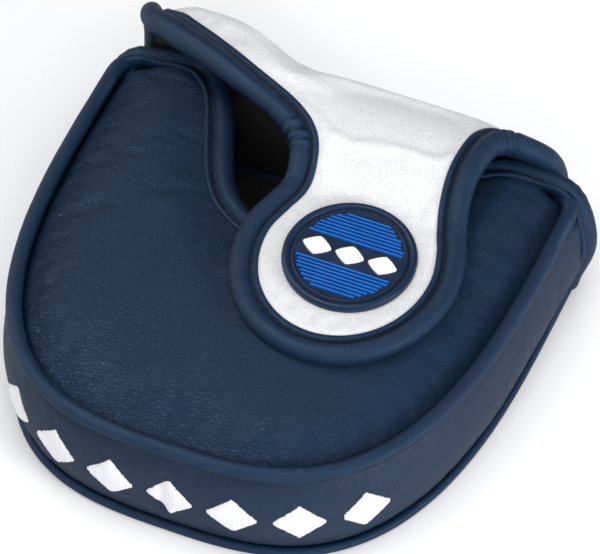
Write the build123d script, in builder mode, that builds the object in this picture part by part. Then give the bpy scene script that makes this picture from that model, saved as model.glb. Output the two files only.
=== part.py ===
from build123d import *
import math
import os

# Mallet putter head cover: a padded D-shaped pouch that is open at the rear, and a padded
# closing flap that is sewn to the rear edge of its base, folds up over the mouth and lies
# on the top panel, where two magnets hold it.
# Millimetres. +Z is up, +Y points rearwards to the mouth, +X is the cover's right, and the
# origin is at the middle of the flat base.

os.makedirs("parts", exist_ok=True)

# --- Pouch plan ---
HALF_W = 62.0            # half width, to the centre line of the top welt
Y_SQUARE = 46.0          # where the straight sides end and the rounded front begins
FRONT_DEPTH = 100.0      # depth of the rounded front, from Y_SQUARE
FRONT_EXP = 3.0          # squareness of the rounded front
WALL_END = 53.0          # rear end of the side wall
PANEL_END = 57.0         # rear end of the top panel

# --- Layers ---
LEATHER = 1.2            # coated fabric
FOAM = 2.5
LINING = 1.1
TOP_FOAM = 1.8
FLAP_FOAM = 1.3
FLAP_LINING = 1.0
GAP = 0.3                # clearance between neighbouring layers

# --- Base ---
BASE_INSET = 1.75        # base panel, inside the welt's centre line
BASE_PAD_INSET = 5.4     # foam and lining on the base
BASE_REAR_Y = 56.0
BASE_REAR_HALF_W = 56.3
BASE_SHOULDER_HALF_W = 58.0
TAPE_W, TAPE_DEPTH, TAPE_Y = 112, 5.2, 59.0

# --- Side wall ---
WALL_MID_Z = 16.0
WALL_BULGE = 2.4         # how far the side wall swells at mid height
# (height, swell outwards)
WALL_SECTIONS = [(3.75, 0.3), (9.5, 1.9), (WALL_MID_Z, WALL_BULGE), (22.5, 1.7), (27.25, 0.0)]

# --- Welts and rolled bindings: outer radius, radius of the cord inside ---
WELT_R, WELT_CORD_R = 2.4, 1.2
WELT_Z = 30.0
WELT_END = 53.4
LOW_WELT_R, LOW_WELT_CORD_R = 1.6, 0.7
LOW_WELT_Z = 1.8
LOW_WELT_OFFSET = 0.25
WELT_STEPS = 30          # points round the front of a welt's path
RIM_R, RIM_CORD_R = 2.5, 1.0
RIM_GAP = 0.75           # between the rim binding and the scoop's edge
RIM_DROP = 2.9           # rim binding's centre below the top panel's outer face
FLAP_R, FLAP_CORD_R = 2.7, 1.2
FLAP_SINK = 1.6          # flap binding's centre below the flap's outer face
CORD_GAP = 0.3           # round a cord in its welt
ROLL_GAP = 0.6           # round a cord in a rolled binding

# --- Top panel ---
CROWN_EDGE_Z = 31.0
CROWN = 4.6              # how far the top panel stands above its edge
CROWN_INSET = 2.5        # the crown's edge, inside the welt's centre line
PANEL_SHOULDER_Y = 51.5  # where the panel's rear corners are cut off
MASK_H = 60              # height of the prisms that trim the top layers

# --- Badge and magnets ---
BADGE_X, BADGE_Y = 20.7, 10.2
BADGE_R, BADGE_T = 16.6, 2.0
BADGE_STATION_Y = 10.0   # the tongue's height here is the height of the badge's plane
BADGE_RIM = 1.9
BADGE_RECESS = 0.7
BADGE_FILLET = 0.3
STRIPE_FIELD_R = BADGE_R - 2.8
STRIPES = 8              # on each side of the middle band
STRIPE_W, STRIPE_PITCH, STRIPE_H = 0.62, 1.22, 0.6
BAND = 4.1               # middle of the badge to the first stripe
EMBLEM_PITCH, EMBLEM_H = 8.2, 0.8
EMBLEM_HALF_W, EMBLEM_HALF_H = 3.5, 2.6
MAGNET_R, MAGNET_T, MAGNET_FILLET = 7.5, 1.3, 0.2
POCKET_R = MAGNET_R + 0.35
POCKET_H = 9             # long enough to cut right through the foam
POCKET_BELOW = 3.0       # how far the pocket's cutter reaches below the panel magnet

# --- Flap ---
TONGUE_TILT = math.tan(math.radians(2.5))
TONGUE_NORMAL = (0, -math.sin(math.radians(2.5)), math.cos(math.radians(2.5)))
TONGUE_END_Y, TONGUE_END_Z = -19.0, 39.35
TONGUE_END_R = 25.0      # centre line of the binding round the tongue's end
TONGUE_END_STRETCH = 1.11    # the end is a little longer than it is wide
TONGUE_END_SHIFT = 0.6   # the end's centre lies this far left of the badge
FOLD_Y = 62.4            # where the flap folds over the mouth's upper edge
FOLD_GAP = 0.35          # each side of the cut through the fold
FOLD_CLEARANCE = 0.25    # fold axis outside the binding
FLAP_CUT_HALF_W = 62     # the layers' width before they are trimmed
FLAP_STEPS = 44          # pieces in a flap layer's side view
TRIM_GAP = 0.5           # between a layer's edge and the binding
TRIM_SLOPE_GAP = 1.3     # more of it where the flap slopes away from the trim
TRIM_DEPTH = 1.5         # depth in the flap at which the trim is laid out

# --- Embroidered lozenges on the wall ---
LOZENGES = 7
LOZENGE_PITCH = 15.6
LOZENGE_SHIFT = 1.9      # the row's middle lies this far to the right of the front
LOZENGE_HALF = 6.4
LOZENGE_CUT = 5          # the cutter's reach on each side of the wall's face
THREAD_TOP = 0.85        # the pads' height above the wall


# ===========================================================================
# Shared helpers
# ===========================================================================
def save(name, part):
    part.label = name
    export_step(part, f"parts/{name}.step")


def plan_points(offset, y_end, steps=22):
    """Plan of the pouch, moved outwards by offset, from the right rear end round the front."""
    half_w, depth = HALF_W + offset, FRONT_DEPTH + offset
    right = []
    if y_end > Y_SQUARE + 1:
        right = [(half_w, y_end), (half_w, (y_end + Y_SQUARE) / 2)]
    front = []
    for i in range(steps + 1):
        angle = math.pi * i / steps
        across, along = abs(math.cos(angle)), abs(math.sin(angle))
        reach = (across / half_w) ** FRONT_EXP + (along / depth) ** FRONT_EXP
        reach = reach ** (-1 / FRONT_EXP)
        front.append((reach * math.cos(angle), Y_SQUARE - reach * math.sin(angle)))
    return right + front + [(-x, y) for x, y in reversed(right)]


def mirrored(points):
    """The points of the left half, whose last is on the middle, and then the right half."""
    return points + [(-p[0], *p[1:]) for p in reversed(points[:-1])]


def offset_line(points, distances):
    """Each point moved by its distance, to the left of the direction of travel."""
    moved = []
    for i, (point, distance) in enumerate(zip(points, distances)):
        before, after = points[max(i - 1, 0)], points[min(i + 1, len(points) - 1)]
        dx, dy = after[0] - before[0], after[1] - before[1]
        length = math.hypot(dx, dy)
        moved.append((point[0] - dy / length * distance, point[1] + dx / length * distance))
    return moved


def catmull(control, steps):
    """Dense points of a smooth (Catmull-Rom) curve through the control points."""
    first = tuple(2 * a - b for a, b in zip(control[0], control[1]))
    last = tuple(2 * a - b for a, b in zip(control[-1], control[-2]))
    p = [first] + list(control) + [last]
    dense = []
    for i in range(1, len(p) - 2):
        for k in range(steps):
            t = k / steps
            dense.append(tuple(
                0.5 * (2 * b + (c - a) * t
                       + (2 * a - 5 * b + 4 * c - d) * t * t
                       + (3 * b - a - 3 * c + d) * t ** 3)
                for a, b, c, d in zip(p[i - 1], p[i], p[i + 1], p[i + 2])))
    dense.append(tuple(control[-1]))
    return dense


def lozenge(half_w, half_h, x=0):
    """Closed outline of a lozenge centred at (x, 0)."""
    return [(x - half_w, 0), (x, half_h), (x + half_w, 0), (x, -half_h), (x - half_w, 0)]


def swept_round(points, radius, bore=None, cut=None):
    """A cord along the points, or a tube if bore is given; cut is (plane, side to keep)."""
    with BuildPart() as piece:
        with BuildLine() as line:
            Spline(*points)
        with BuildSketch(Plane(origin=line.line @ 0, z_dir=line.line % 0)):
            Circle(radius)
        sweep(path=line.line)
        # the split comes before the bore
        if cut:
            split(bisect_by=cut[0], keep=cut[1])
        if bore:
            with BuildSketch(Plane(origin=line.line @ 0, z_dir=line.line % 0)):
                Circle(bore)
            sweep(path=line.line, mode=Mode.SUBTRACT)
    return piece.part


def magnet(plane):
    """Magnet disc standing on the plane."""
    with BuildPart() as piece:
        with BuildSketch(plane):
            Circle(MAGNET_R)
        extrude(amount=MAGNET_T)
        fillet(piece.edges().filter_by(GeomType.CIRCLE), MAGNET_FILLET)
    return piece.part


# ===========================================================================
# Pouch: base
# ===========================================================================
def bottom_panel():
    with BuildPart() as piece:
        with BuildSketch():
            with BuildLine():
                outline = Spline(*plan_points(-BASE_INSET, WALL_END))
                Polyline(
                    outline @ 1,
                    (-BASE_SHOULDER_HALF_W, WALL_END),
                    (-BASE_REAR_HALF_W, BASE_REAR_Y),
                    (BASE_REAR_HALF_W, BASE_REAR_Y),
                    (BASE_SHOULDER_HALF_W, WALL_END),
                    outline @ 0,
                )
            make_face()
        extrude(amount=LEATHER)
    return piece.part


def base_pad(z, thickness):
    """Foam or lining laid on the base panel."""
    with BuildPart() as piece:
        with BuildSketch(Plane.XY.offset(z)):
            with BuildLine():
                outline = Spline(*plan_points(-BASE_PAD_INSET, WALL_END))
                Line(outline @ 1, outline @ 0)
            make_face()
        extrude(amount=thickness)
    return piece.part


def hinge_tape():
    """Tape that sews the flap's lower edge to the base."""
    with BuildPart() as piece:
        with BuildSketch():
            with Locations((0, TAPE_Y)):
                Rectangle(TAPE_W, TAPE_DEPTH)
        extrude(amount=LEATHER)
    return piece.part


save("bottom_panel", bottom_panel())
save("bottom_foam", base_pad(LEATHER + GAP, FOAM))
save("bottom_lining", base_pad(LEATHER + FOAM + 2 * GAP, LINING))
save("hinge_tape", hinge_tape())


# ===========================================================================
# Pouch: side wall, C-shaped layers that swell at mid height, and its embroidery
# ===========================================================================
def wall_layer(outer_offset, inner_offset, mask=None):
    """Layer between two offsets from the wall's outer face (outwards positive)."""
    with BuildPart() as piece:
        for z, swell in WALL_SECTIONS:
            with BuildSketch(Plane.XY.offset(z)):
                with BuildLine():
                    outer = Spline(*plan_points(swell + outer_offset, WALL_END))
                    inner = Spline(*plan_points(swell + inner_offset, WALL_END))
                    Line(outer @ 0, inner @ 0)
                    Line(outer @ 1, inner @ 1)
                make_face()
        loft()
        if mask:
            add(mask, mode=Mode.INTERSECT)
    return piece.part


def lozenge_mask():
    """Row of lozenge prisms across the front of the wall."""
    ring = Spline(*plan_points(WALL_BULGE, WALL_END))
    with BuildPart() as mask:
        for k in range(LOZENGES):
            along = (k - (LOZENGES - 1) / 2) * LOZENGE_PITCH - LOZENGE_SHIFT
            t = 0.5 + along / ring.length
            spot, run = ring @ t, ring % t
            face = Plane(
                origin=(spot.X, spot.Y, WALL_MID_Z),
                x_dir=(run.X, run.Y, 0),
                z_dir=(run.Y, -run.X, 0),
            )
            with BuildSketch(face.offset(-LOZENGE_CUT)):
                with BuildLine():
                    Polyline(*lozenge(LOZENGE_HALF, LOZENGE_HALF))
                make_face()
        extrude(amount=2 * LOZENGE_CUT)
    return mask.part


WALL_FOAM_IN = LEATHER + GAP
WALL_LINING_IN = LEATHER + FOAM + 2 * GAP
save("gusset_panel", wall_layer(0.0, -LEATHER))
save("gusset_foam", wall_layer(-WALL_FOAM_IN, -WALL_FOAM_IN - FOAM))
save("gusset_lining", wall_layer(-WALL_LINING_IN, -WALL_LINING_IN - LINING))
save("wall_embroidery", wall_layer(THREAD_TOP, GAP, lozenge_mask()))

# ===========================================================================
# Pouch: welts between the wall and the panels, each a leather tube on a cord
# ===========================================================================
welt_path = [(x, y, WELT_Z) for x, y in plan_points(0.0, WELT_END, WELT_STEPS)]
low_welt_path = [(x, y, LOW_WELT_Z)
                 for x, y in plan_points(LOW_WELT_OFFSET, WALL_END, WELT_STEPS)]

save("top_welt", swept_round(welt_path, WELT_R, WELT_CORD_R + CORD_GAP))
save("top_welt_cord", swept_round(welt_path, WELT_CORD_R))
save("bottom_welt", swept_round(low_welt_path, LOW_WELT_R, LOW_WELT_CORD_R + CORD_GAP))
save("bottom_welt_cord", swept_round(low_welt_path, LOW_WELT_CORD_R))

# ===========================================================================
# Pouch: crowned top panel in three layers, with the scoop at the mouth
# ===========================================================================
# Edge of the scoop in plan (x, y), left half up to the middle
SCOOP_LEFT = [
    (-43.0, 57.2), (-37.9, 56.0), (-34.4, 51.0), (-31.0, 43.7), (-27.4, 35.0), (-23.9, 27.4),
    (-20.2, 21.8), (-16.4, 18.0), (-11.0, 14.6), (-5.5, 12.7), (0.0, 12.1),
]
SCOOP = mirrored(SCOOP_LEFT)
SCOOP_MASK_REAR = 80.0


def crown_z(x, y):
    """Height of the top panel's outer face."""
    half_w, depth = HALF_W - CROWN_INSET, FRONT_DEPTH - CROWN_INSET
    forward = max(0.0, Y_SQUARE - y)
    # 0 in the middle, 1 at the crown's edge
    radius = ((abs(x) / half_w) ** 3 + (forward / depth) ** 3) ** (1 / 3)
    lift = 1.0 - min(radius, 1.15) ** 4
    # the crown flattens towards the mouth
    rear = 1.0 - 0.45 * max(0.0, (y - 10.0) / 50.0) ** 2
    return CROWN_EDGE_Z + CROWN * lift * rear


def crown_surface():
    """Outer face of the top panel, fitted to a 4 mm grid that reaches past its outline."""
    grid = []
    for i in range(33):
        x = -64.0 + 4.0 * i
        column = [-60.0 + 4.0 * j for j in range(32)]
        grid.append([Vector(x, y, crown_z(x, y)) for y in column])
    return Face.make_surface_from_array_of_points(grid, tol=0.01)


def scoop_mask():
    """Prism that cuts the scoop."""
    with BuildPart() as mask:
        with BuildSketch():
            with BuildLine():
                edge = Spline(*SCOOP)
                corner_x = SCOOP[-1][0]
                Polyline(edge @ 1, (corner_x, SCOOP_MASK_REAR), (-corner_x, SCOOP_MASK_REAR),
                         edge @ 0)
            make_face()
        extrude(amount=MASK_H)
    return mask.part


def outline_mask(inset, rear_half_w):
    """Prism over the plan moved inwards by inset, with cut-off rear corners."""
    half_w = HALF_W - inset
    with BuildPart() as mask:
        with BuildSketch():
            with BuildLine():
                outline = Spline(*plan_points(-inset, Y_SQUARE))
                Polyline(
                    outline @ 1,
                    (-half_w, PANEL_SHOULDER_Y),
                    (-rear_half_w, PANEL_END),
                    (rear_half_w, PANEL_END),
                    (half_w, PANEL_SHOULDER_Y),
                    outline @ 0,
                )
            make_face()
        extrude(amount=MASK_H)
    return mask.part


crown_face = crown_surface()
scoop_prism = scoop_mask()
panel_prism = outline_mask(2.8, 53.9)       # inside the welt
lining_prism = outline_mask(6.2, 50.3)      # inside the wall's lining

# The panel magnet lies under the leather's lowest point round its edge
leather_low = min(
    crown_z(BADGE_X + MAGNET_R * math.cos(k / 2), BADGE_Y + MAGNET_R * math.sin(k / 2))
    for k in range(13)
)
magnet_bottom = leather_low - LEATHER - GAP - MAGNET_T


def top_layer(drop, thickness, mask, pocket=False):
    """Layer that starts drop below the crown, with a magnet pocket if asked for."""
    with BuildPart() as piece:
        add(Solid.extrude(crown_face.moved(Location((0, 0, -drop))), Vector(0, 0, -thickness)))
        add(mask, mode=Mode.INTERSECT)
        add(scoop_prism, mode=Mode.SUBTRACT)
        if pocket:
            with Locations((BADGE_X, BADGE_Y, magnet_bottom - POCKET_BELOW)):
                Cylinder(POCKET_R, POCKET_H, align=(Align.CENTER, Align.CENTER, Align.MIN),
                         mode=Mode.SUBTRACT)
    return piece.part


save("top_panel", top_layer(0.0, LEATHER, panel_prism))
save("top_foam", top_layer(LEATHER + GAP, TOP_FOAM, panel_prism, pocket=True))
save("top_lining", top_layer(LEATHER + TOP_FOAM + 2 * GAP, LINING, lining_prism))
save("panel_magnet", magnet(Plane(origin=(BADGE_X, BADGE_Y, magnet_bottom))))

# ===========================================================================
# Pouch: padded binding round the mouth, up the wall's ends and along the scoop
# ===========================================================================
# Left end of its centre line (x, y, z), from the base up to the scoop
RIM_SIDE = [
    (-61.4, 56.4, 3.4), (-62.6, 56.6, 9.0), (-63.3, 56.7, 16.0), (-62.6, 57.0, 22.5),
    (-60.6, 58.4, 27.2), (-57.2, 60.0, 30.0), (-51.5, 60.4, 30.4),
]
scoop_line = offset_line(SCOOP, [RIM_R + RIM_GAP] * len(SCOOP))
rim_path = mirrored(RIM_SIDE + [
    (x, y, crown_z(x, min(y, PANEL_END)) - RIM_DROP) for x, y in scoop_line[1:len(SCOOP_LEFT)]
])

save("rim_binding", swept_round(rim_path, RIM_R, RIM_CORD_R + ROLL_GAP))
save("rim_binding_cord", swept_round(rim_path, RIM_CORD_R))


# ===========================================================================
# Flap: side view and fold
# ===========================================================================
def tongue_z(y):
    """Height of the tongue's straight outer face."""
    return TONGUE_END_Z + (y - TONGUE_END_Y) * TONGUE_TILT


# Side view of the flap's outer face (y, z): up behind the mouth, over it and down on to
# the top panel. The last stretch is straight.
FLAP_PROFILE = catmull([
    (62.9, 2.6), (65.6, 7.0), (68.0, 14.0), (69.0, 22.0), (68.2, 30.0), (65.6, 36.4),
    (61.0, 41.8), (54.0, 45.8), (46.0, 46.9), (39.5, 46.1), (34.0, 44.3), (30.0, 42.5),
    (27.0, tongue_z(27.0) + 0.1), (22.0, tongue_z(22.0)), (10.0, tongue_z(10.0)),
    (-4.0, tongue_z(-4.0)), (TONGUE_END_Y, TONGUE_END_Z),
], 8)
# Arc length from the lower edge to each point of the profile
ARC = [0.0]
for start, end in zip(FLAP_PROFILE, FLAP_PROFILE[1:]):
    ARC.append(ARC[-1] + math.dist(start, end))


def flap_point(arc, depth):
    """(y, z) at this arc length along the flap's outer face, depth below it."""
    i = 1
    while i < len(ARC) - 1 and ARC[i] < arc:
        i += 1
    t = (arc - ARC[i - 1]) / (ARC[i] - ARC[i - 1])
    start, end = FLAP_PROFILE[i - 1], FLAP_PROFILE[i]
    before, after = FLAP_PROFILE[max(i - 2, 0)], FLAP_PROFILE[min(i + 1, len(ARC) - 1)]
    dy, dz = after[0] - before[0], after[1] - before[1]
    length = math.hypot(dy, dz)
    return (start[0] + (end[0] - start[0]) * t - dz / length * depth,
            start[1] + (end[1] - start[1]) * t + dy / length * depth)


def arc_at_y(y, above_z):
    """Arc length of the profile point nearest to y, among those above a height."""
    return ARC[min((abs(p[0] - y), i) for i, p in enumerate(FLAP_PROFILE) if p[1] > above_z)[1]]


FOLD_ARC = arc_at_y(FOLD_Y, 36.0)
fold_y, fold_z = flap_point(FOLD_ARC, -(FLAP_R - FLAP_SINK) - FOLD_CLEARANCE)
below_fold, past_fold = flap_point(FOLD_ARC - 0.5, 0.0), flap_point(FOLD_ARC + 0.5, 0.0)
# Plane across the flap through the fold; its normal points towards the tongue
FOLD = Plane(
    origin=(0, fold_y, fold_z),
    x_dir=(1, 0, 0),
    z_dir=(0, past_fold[0] - below_fold[0], past_fold[1] - below_fold[1]),
)
BASE_CUT = (FOLD.offset(-FOLD_GAP), Keep.BOTTOM)
TONGUE_CUT = (FOLD.offset(FOLD_GAP), Keep.TOP)

# The tongue's outer face at the badge
TONGUE_FACE = Plane(
    origin=(BADGE_X, BADGE_Y, tongue_z(BADGE_STATION_Y)),
    x_dir=(1, 0, 0),
    z_dir=TONGUE_NORMAL,
)


# ===========================================================================
# Flap: centre line of its binding in the flat pattern, as (x, arc length)
# ===========================================================================
def tongue_end():
    """Round end of the tongue, from its left side to its right."""
    centre_arc = arc_at_y(BADGE_Y, 38.5)
    points = []
    for k in range(13):
        degrees = 204 - k * (228 / 12)
        angle = math.radians(degrees)
        reach = TONGUE_END_R * (TONGUE_END_STRETCH if degrees < 180 else 1.0)
        points.append((BADGE_X - TONGUE_END_SHIFT + TONGUE_END_R * math.cos(angle),
                       centre_arc + reach * math.sin(angle)))
    return points


BINDING_LEFT = [
    (-57.0, 2.5), (-57.3, 14.0), (-57.2, 26.0), (-56.8, 36.0), (-54.0, 42.6), (-47.0, 46.4),
    (-36.5, 50.5), (-23.5, 56.0), (-10.5, 61.0), (-3.6, 66.5), (-1.0, 74.0), (-1.0, 80.0),
]
BINDING_RIGHT = [
    (40.4, 80.0), (38.4, 73.0), (37.5, 64.0), (37.5, 55.0), (38.4, 47.8), (41.2, 41.8),
    (46.2, 37.8), (51.2, 33.4), (54.0, 27.0), (55.2, 19.0), (56.0, 10.0), (56.3, 2.5),
]
BINDING = BINDING_LEFT + tongue_end() + BINDING_RIGHT


# ===========================================================================
# Flap: prisms that trim the layers inside the binding
# ===========================================================================
def flap_slope(arc):
    """How far the flap leans from the level (tongue) or the upright (rear part), as a sine."""
    y0, z0 = flap_point(arc - 0.8, 0.0)
    y1, z1 = flap_point(arc + 0.8, 0.0)
    rise = abs(z1 - z0) if arc > FOLD_ARC else abs(y1 - y0)
    return rise / math.hypot(y1 - y0, z1 - z0)


binding_line = catmull(BINDING, 4)
# negative distances move the trim to the right of travel, into the flap
trim_line = offset_line(binding_line, [
    -(FLAP_R + TRIM_GAP + TRIM_SLOPE_GAP * flap_slope(min(max(arc, 1.0), ARC[-1] - 1.0)))
    for _, arc in binding_line
])


def tongue_mask():
    """Outline of the tongue seen from above."""
    points = [(x, flap_point(arc, TRIM_DEPTH)[0]) for x, arc in trim_line
              if arc > FOLD_ARC - 5.0]
    rearwards = Vector(0, 20, 0)
    with BuildPart() as mask:
        with BuildSketch(Plane.XY.offset(20)):
            with BuildLine():
                edge = Polyline(*points)
                Polyline(edge @ 1, edge @ 1 + rearwards, edge @ 0 + rearwards, edge @ 0)
            make_face()
        extrude(amount=40)
    return mask.part


def base_mask():
    """Outline of the flap's rear part, as (x, z)."""
    points = [(x, flap_point(arc, TRIM_DEPTH)[1]) for x, arc in trim_line
              if arc < FOLD_ARC + 2.0]
    upwards = Vector(0, 20, 0)      # the sketch's y is the cover's z
    with BuildPart() as mask:
        with BuildSketch(Plane.XZ.offset(-90)):
            with BuildLine():
                left = Polyline(*[p for p in points if p[0] < 0])
                right = Polyline(*[p for p in points if p[0] > 0])
                Line(right @ 1, left @ 0)
                Polyline(left @ 1, left @ 1 + upwards, right @ 0 + upwards, right @ 0)
            make_face()
        extrude(amount=45)
    return mask.part


# ===========================================================================
# Flap: three layers, each parted at the fold into the rear part and the tongue
# ===========================================================================
def flap_layer(depth, thickness, cut, mask, pocket):
    """Layer that starts at a depth below the outer face; cut is (plane, side to keep)."""
    arcs = [ARC[-1] * k / FLAP_STEPS for k in range(FLAP_STEPS + 1)]
    with BuildPart() as piece:
        with BuildSketch(Plane.YZ):
            with BuildLine():
                outer = Polyline(*[flap_point(arc, depth) for arc in arcs])
                inner = Polyline(*[flap_point(arc, depth + thickness) for arc in arcs])
                Line(outer @ 0, inner @ 0)
                Line(outer @ 1, inner @ 1)
            make_face()
        extrude(amount=FLAP_CUT_HALF_W, both=True)
        split(bisect_by=cut[0], keep=cut[1])
        add(mask, mode=Mode.INTERSECT)
        if pocket:
            with BuildSketch(TONGUE_FACE):
                Circle(POCKET_R)
            extrude(amount=POCKET_H, both=True, mode=Mode.SUBTRACT)
    return piece.part


# (layer, depth of its outer face, thickness)
FLAP_LAYERS = [
    ("panel", 0.0, LEATHER),
    ("foam", LEATHER + GAP, FLAP_FOAM),
    ("lining", LEATHER + FLAP_FOAM + 2 * GAP, FLAP_LINING),
]
for side, cut, mask in (("base", BASE_CUT, base_mask()), ("tongue", TONGUE_CUT, tongue_mask())):
    for layer, depth, thickness in FLAP_LAYERS:
        # the magnet's pocket is in the tongue's foam
        pocket = side == "tongue" and layer == "foam"
        save(f"flap_{side}_{layer}", flap_layer(depth, thickness, cut, mask, pocket))

save("flap_magnet", magnet(TONGUE_FACE.offset(-LEATHER - GAP - MAGNET_T)))

# ===========================================================================
# Flap: rolled binding on its cord
# ===========================================================================
binding_path = [(x, *flap_point(arc, FLAP_SINK)) for x, arc in BINDING]
# the rear part's two sides, each taken a little past the fold
SIDE_PATHS = (binding_path[:8], binding_path[-8:])


def base_binding(radius, bore=None):
    """Both sides of the rear part's binding, or its cords, cut at the fold."""
    with BuildPart() as piece:
        for path in SIDE_PATHS:
            with BuildLine() as line:
                Spline(*path)
            with BuildSketch(Plane(origin=line.line @ 0, z_dir=line.line % 0)):
                Circle(radius)
            sweep(path=line.line)
        if bore:
            for path in SIDE_PATHS:
                with BuildLine() as line:
                    Spline(*path)
                with BuildSketch(Plane(origin=line.line @ 0, z_dir=line.line % 0)):
                    Circle(bore)
                sweep(path=line.line, mode=Mode.SUBTRACT)
        split(bisect_by=BASE_CUT[0], keep=BASE_CUT[1])
    return piece.part


FLAP_BORE = FLAP_CORD_R + ROLL_GAP
save("flap_base_binding", base_binding(FLAP_R, FLAP_BORE))
save("flap_base_cord", base_binding(FLAP_CORD_R))
save("flap_tongue_binding", swept_round(binding_path, FLAP_R, FLAP_BORE, cut=TONGUE_CUT))
save("flap_tongue_cord", swept_round(binding_path, FLAP_CORD_R, cut=TONGUE_CUT))

# ===========================================================================
# Moulded badge on the tongue: a rimmed disc, raised stripes and three lozenges
# ===========================================================================
badge_seat = TONGUE_FACE.offset(GAP)
badge_field = badge_seat.offset(BADGE_T - BADGE_RECESS)


def badge_body():
    with BuildPart() as piece:
        with BuildSketch(badge_seat):
            Circle(BADGE_R)
        extrude(amount=BADGE_T)
        with BuildSketch(badge_field):
            Circle(BADGE_R - BADGE_RIM)
        extrude(amount=1.0, mode=Mode.SUBTRACT)
        # the two upper edges of the rim
        rim_edges = piece.edges().filter_by(GeomType.CIRCLE).sort_by(Axis.Z)[-2:]
        fillet(rim_edges, BADGE_FILLET)
    return piece.part


def badge_stripes():
    with BuildPart() as piece:
        with BuildSketch(badge_field):
            for k in range(STRIPES):
                offset = BAND + STRIPE_PITCH * k
                with Locations((0, offset), (0, -offset)):
                    SlotOverall(2 * math.sqrt(STRIPE_FIELD_R ** 2 - offset ** 2), STRIPE_W)
        extrude(amount=STRIPE_H)
    return piece.part


def badge_emblem():
    with BuildPart() as piece:
        with BuildSketch(badge_field):
            for x in (-EMBLEM_PITCH, 0.0, EMBLEM_PITCH):
                with BuildLine():
                    Polyline(*lozenge(EMBLEM_HALF_W, EMBLEM_HALF_H, x))
                make_face()
        extrude(amount=EMBLEM_H)
    return piece.part


save("badge_body", badge_body())
save("badge_stripes", badge_stripes())
save("badge_emblem", badge_emblem())
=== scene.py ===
"""Putter head cover: a padded navy leather pouch, closed by a white leather flap with a round badge.

The pouch lies on z = 0 with its rounded front towards -Y and its open mouth at the rear (+Y).
The flap is joined low at the rear, rises behind the mouth and folds forward over the top.
Right is +X. Lengths are millimetres until mesh_object writes metres; bump distances, lights and
the camera are in metres.
"""
import math

import bpy
import numpy as np
from mathutils import Matrix, Vector


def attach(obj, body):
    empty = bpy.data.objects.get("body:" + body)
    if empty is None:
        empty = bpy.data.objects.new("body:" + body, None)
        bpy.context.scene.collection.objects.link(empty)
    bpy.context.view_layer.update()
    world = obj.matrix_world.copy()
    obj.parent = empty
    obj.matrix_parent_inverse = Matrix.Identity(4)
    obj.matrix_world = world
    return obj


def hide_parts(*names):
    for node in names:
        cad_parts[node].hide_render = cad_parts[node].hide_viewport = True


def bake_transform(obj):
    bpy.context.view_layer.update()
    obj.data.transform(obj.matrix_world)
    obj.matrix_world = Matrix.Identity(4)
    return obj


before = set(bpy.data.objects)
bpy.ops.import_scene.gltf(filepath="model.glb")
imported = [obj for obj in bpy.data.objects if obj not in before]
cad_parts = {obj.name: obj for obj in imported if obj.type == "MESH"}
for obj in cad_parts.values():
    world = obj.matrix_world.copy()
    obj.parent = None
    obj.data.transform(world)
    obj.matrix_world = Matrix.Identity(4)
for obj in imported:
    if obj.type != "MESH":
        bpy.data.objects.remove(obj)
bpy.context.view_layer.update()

MM = 0.001
TAU = 2 * math.pi

# ----------------------------------------------------------------------------
# Driving sizes
# ----------------------------------------------------------------------------
# Plan of the pouch: a superellipse front with straight sides behind Y_SQUARE
HALF_W, U_DEPTH, U_EXP, Y_SQUARE = 62.0, 100.0, 3.0, 46.0
TOP_WELT_Z, TOP_WELT_R = 30.0, 2.4
LOW_WELT_Z, LOW_WELT_R = 1.8, 1.6
CROWN_BASE_Z, CROWN_RISE = 31.0, 4.6
LINE_STEP = 0.5                      # spacing of the points on the plan lines

# The flap's top face rises rearwards from its profile's front end
TILT_ANGLE = math.radians(2.5)
TILT = math.tan(TILT_ANGLE)
FLAP_END_Y, FLAP_END_Z = -19.0, 39.35
FLAP_TIP_R = 25.0
BADGE_X, BADGE_Y = 20.7, 10.2
BADGE_FIELD_R, BADGE_FIELD_H = 13.15, 1.30


# ----------------------------------------------------------------------------
# Numbers, noise and lines
# ----------------------------------------------------------------------------
def ease(t):
    """Smooth step from 0 to 1 as t goes from 0 to 1."""
    t = np.clip(t, 0.0, 1.0)
    return t * t * (3 - 2 * t)


def bell(distance, width):
    return np.exp(-(distance / width) ** 2)


def fade(distance, start, length):
    """1 up to start, then an exponential fall."""
    return np.exp(-np.clip(distance - start, 0, None) / length)


def flat(*columns):
    """Columns side by side, with a zero z added."""
    return np.column_stack([*columns, np.zeros(len(columns[0]))])


def noise3(p, seed=0):
    """Smooth lattice noise in -1..1 at points p (N, 3)."""
    p = np.asarray(p, float)
    i = np.floor(p).astype(np.int64)
    f = p - i
    f = f * f * (3 - 2 * f)

    def corner(dx, dy, dz):
        h = ((i[:, 0] + dx) * 374761393 + (i[:, 1] + dy) * 668265263
             + (i[:, 2] + dz) * 1440662683 + seed * 1274126177) & 0xFFFFFFFF
        h = ((h ^ (h >> 13)) * 1274126177) & 0xFFFFFFFF
        h = h ^ (h >> 16)
        return h / 0xFFFFFFFF * 2 - 1

    def row(dy, dz):
        return corner(0, dy, dz) * (1 - x) + corner(1, dy, dz) * x

    x, y, z = f[:, 0], f[:, 1], f[:, 2]
    return (row(0, 0) * (1 - y) + row(1, 0) * y) * (1 - z) + (row(0, 1) * (1 - y) + row(1, 1) * y) * z


def fbm(p, seed=0, octaves=3):
    """Layered noise: each octave has twice the frequency and half the height."""
    p = np.asarray(p, float)
    out, amp, total = 0, 1.0, 0.0
    for k in range(octaves):
        out = out + noise3(p * 2 ** k + 17.3 * k, seed + k) * amp
        total += amp
        amp *= 0.5
    return out / total


def noise_along(s, length, seed):
    return noise3(flat(s / length, s * 0), seed)


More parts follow.
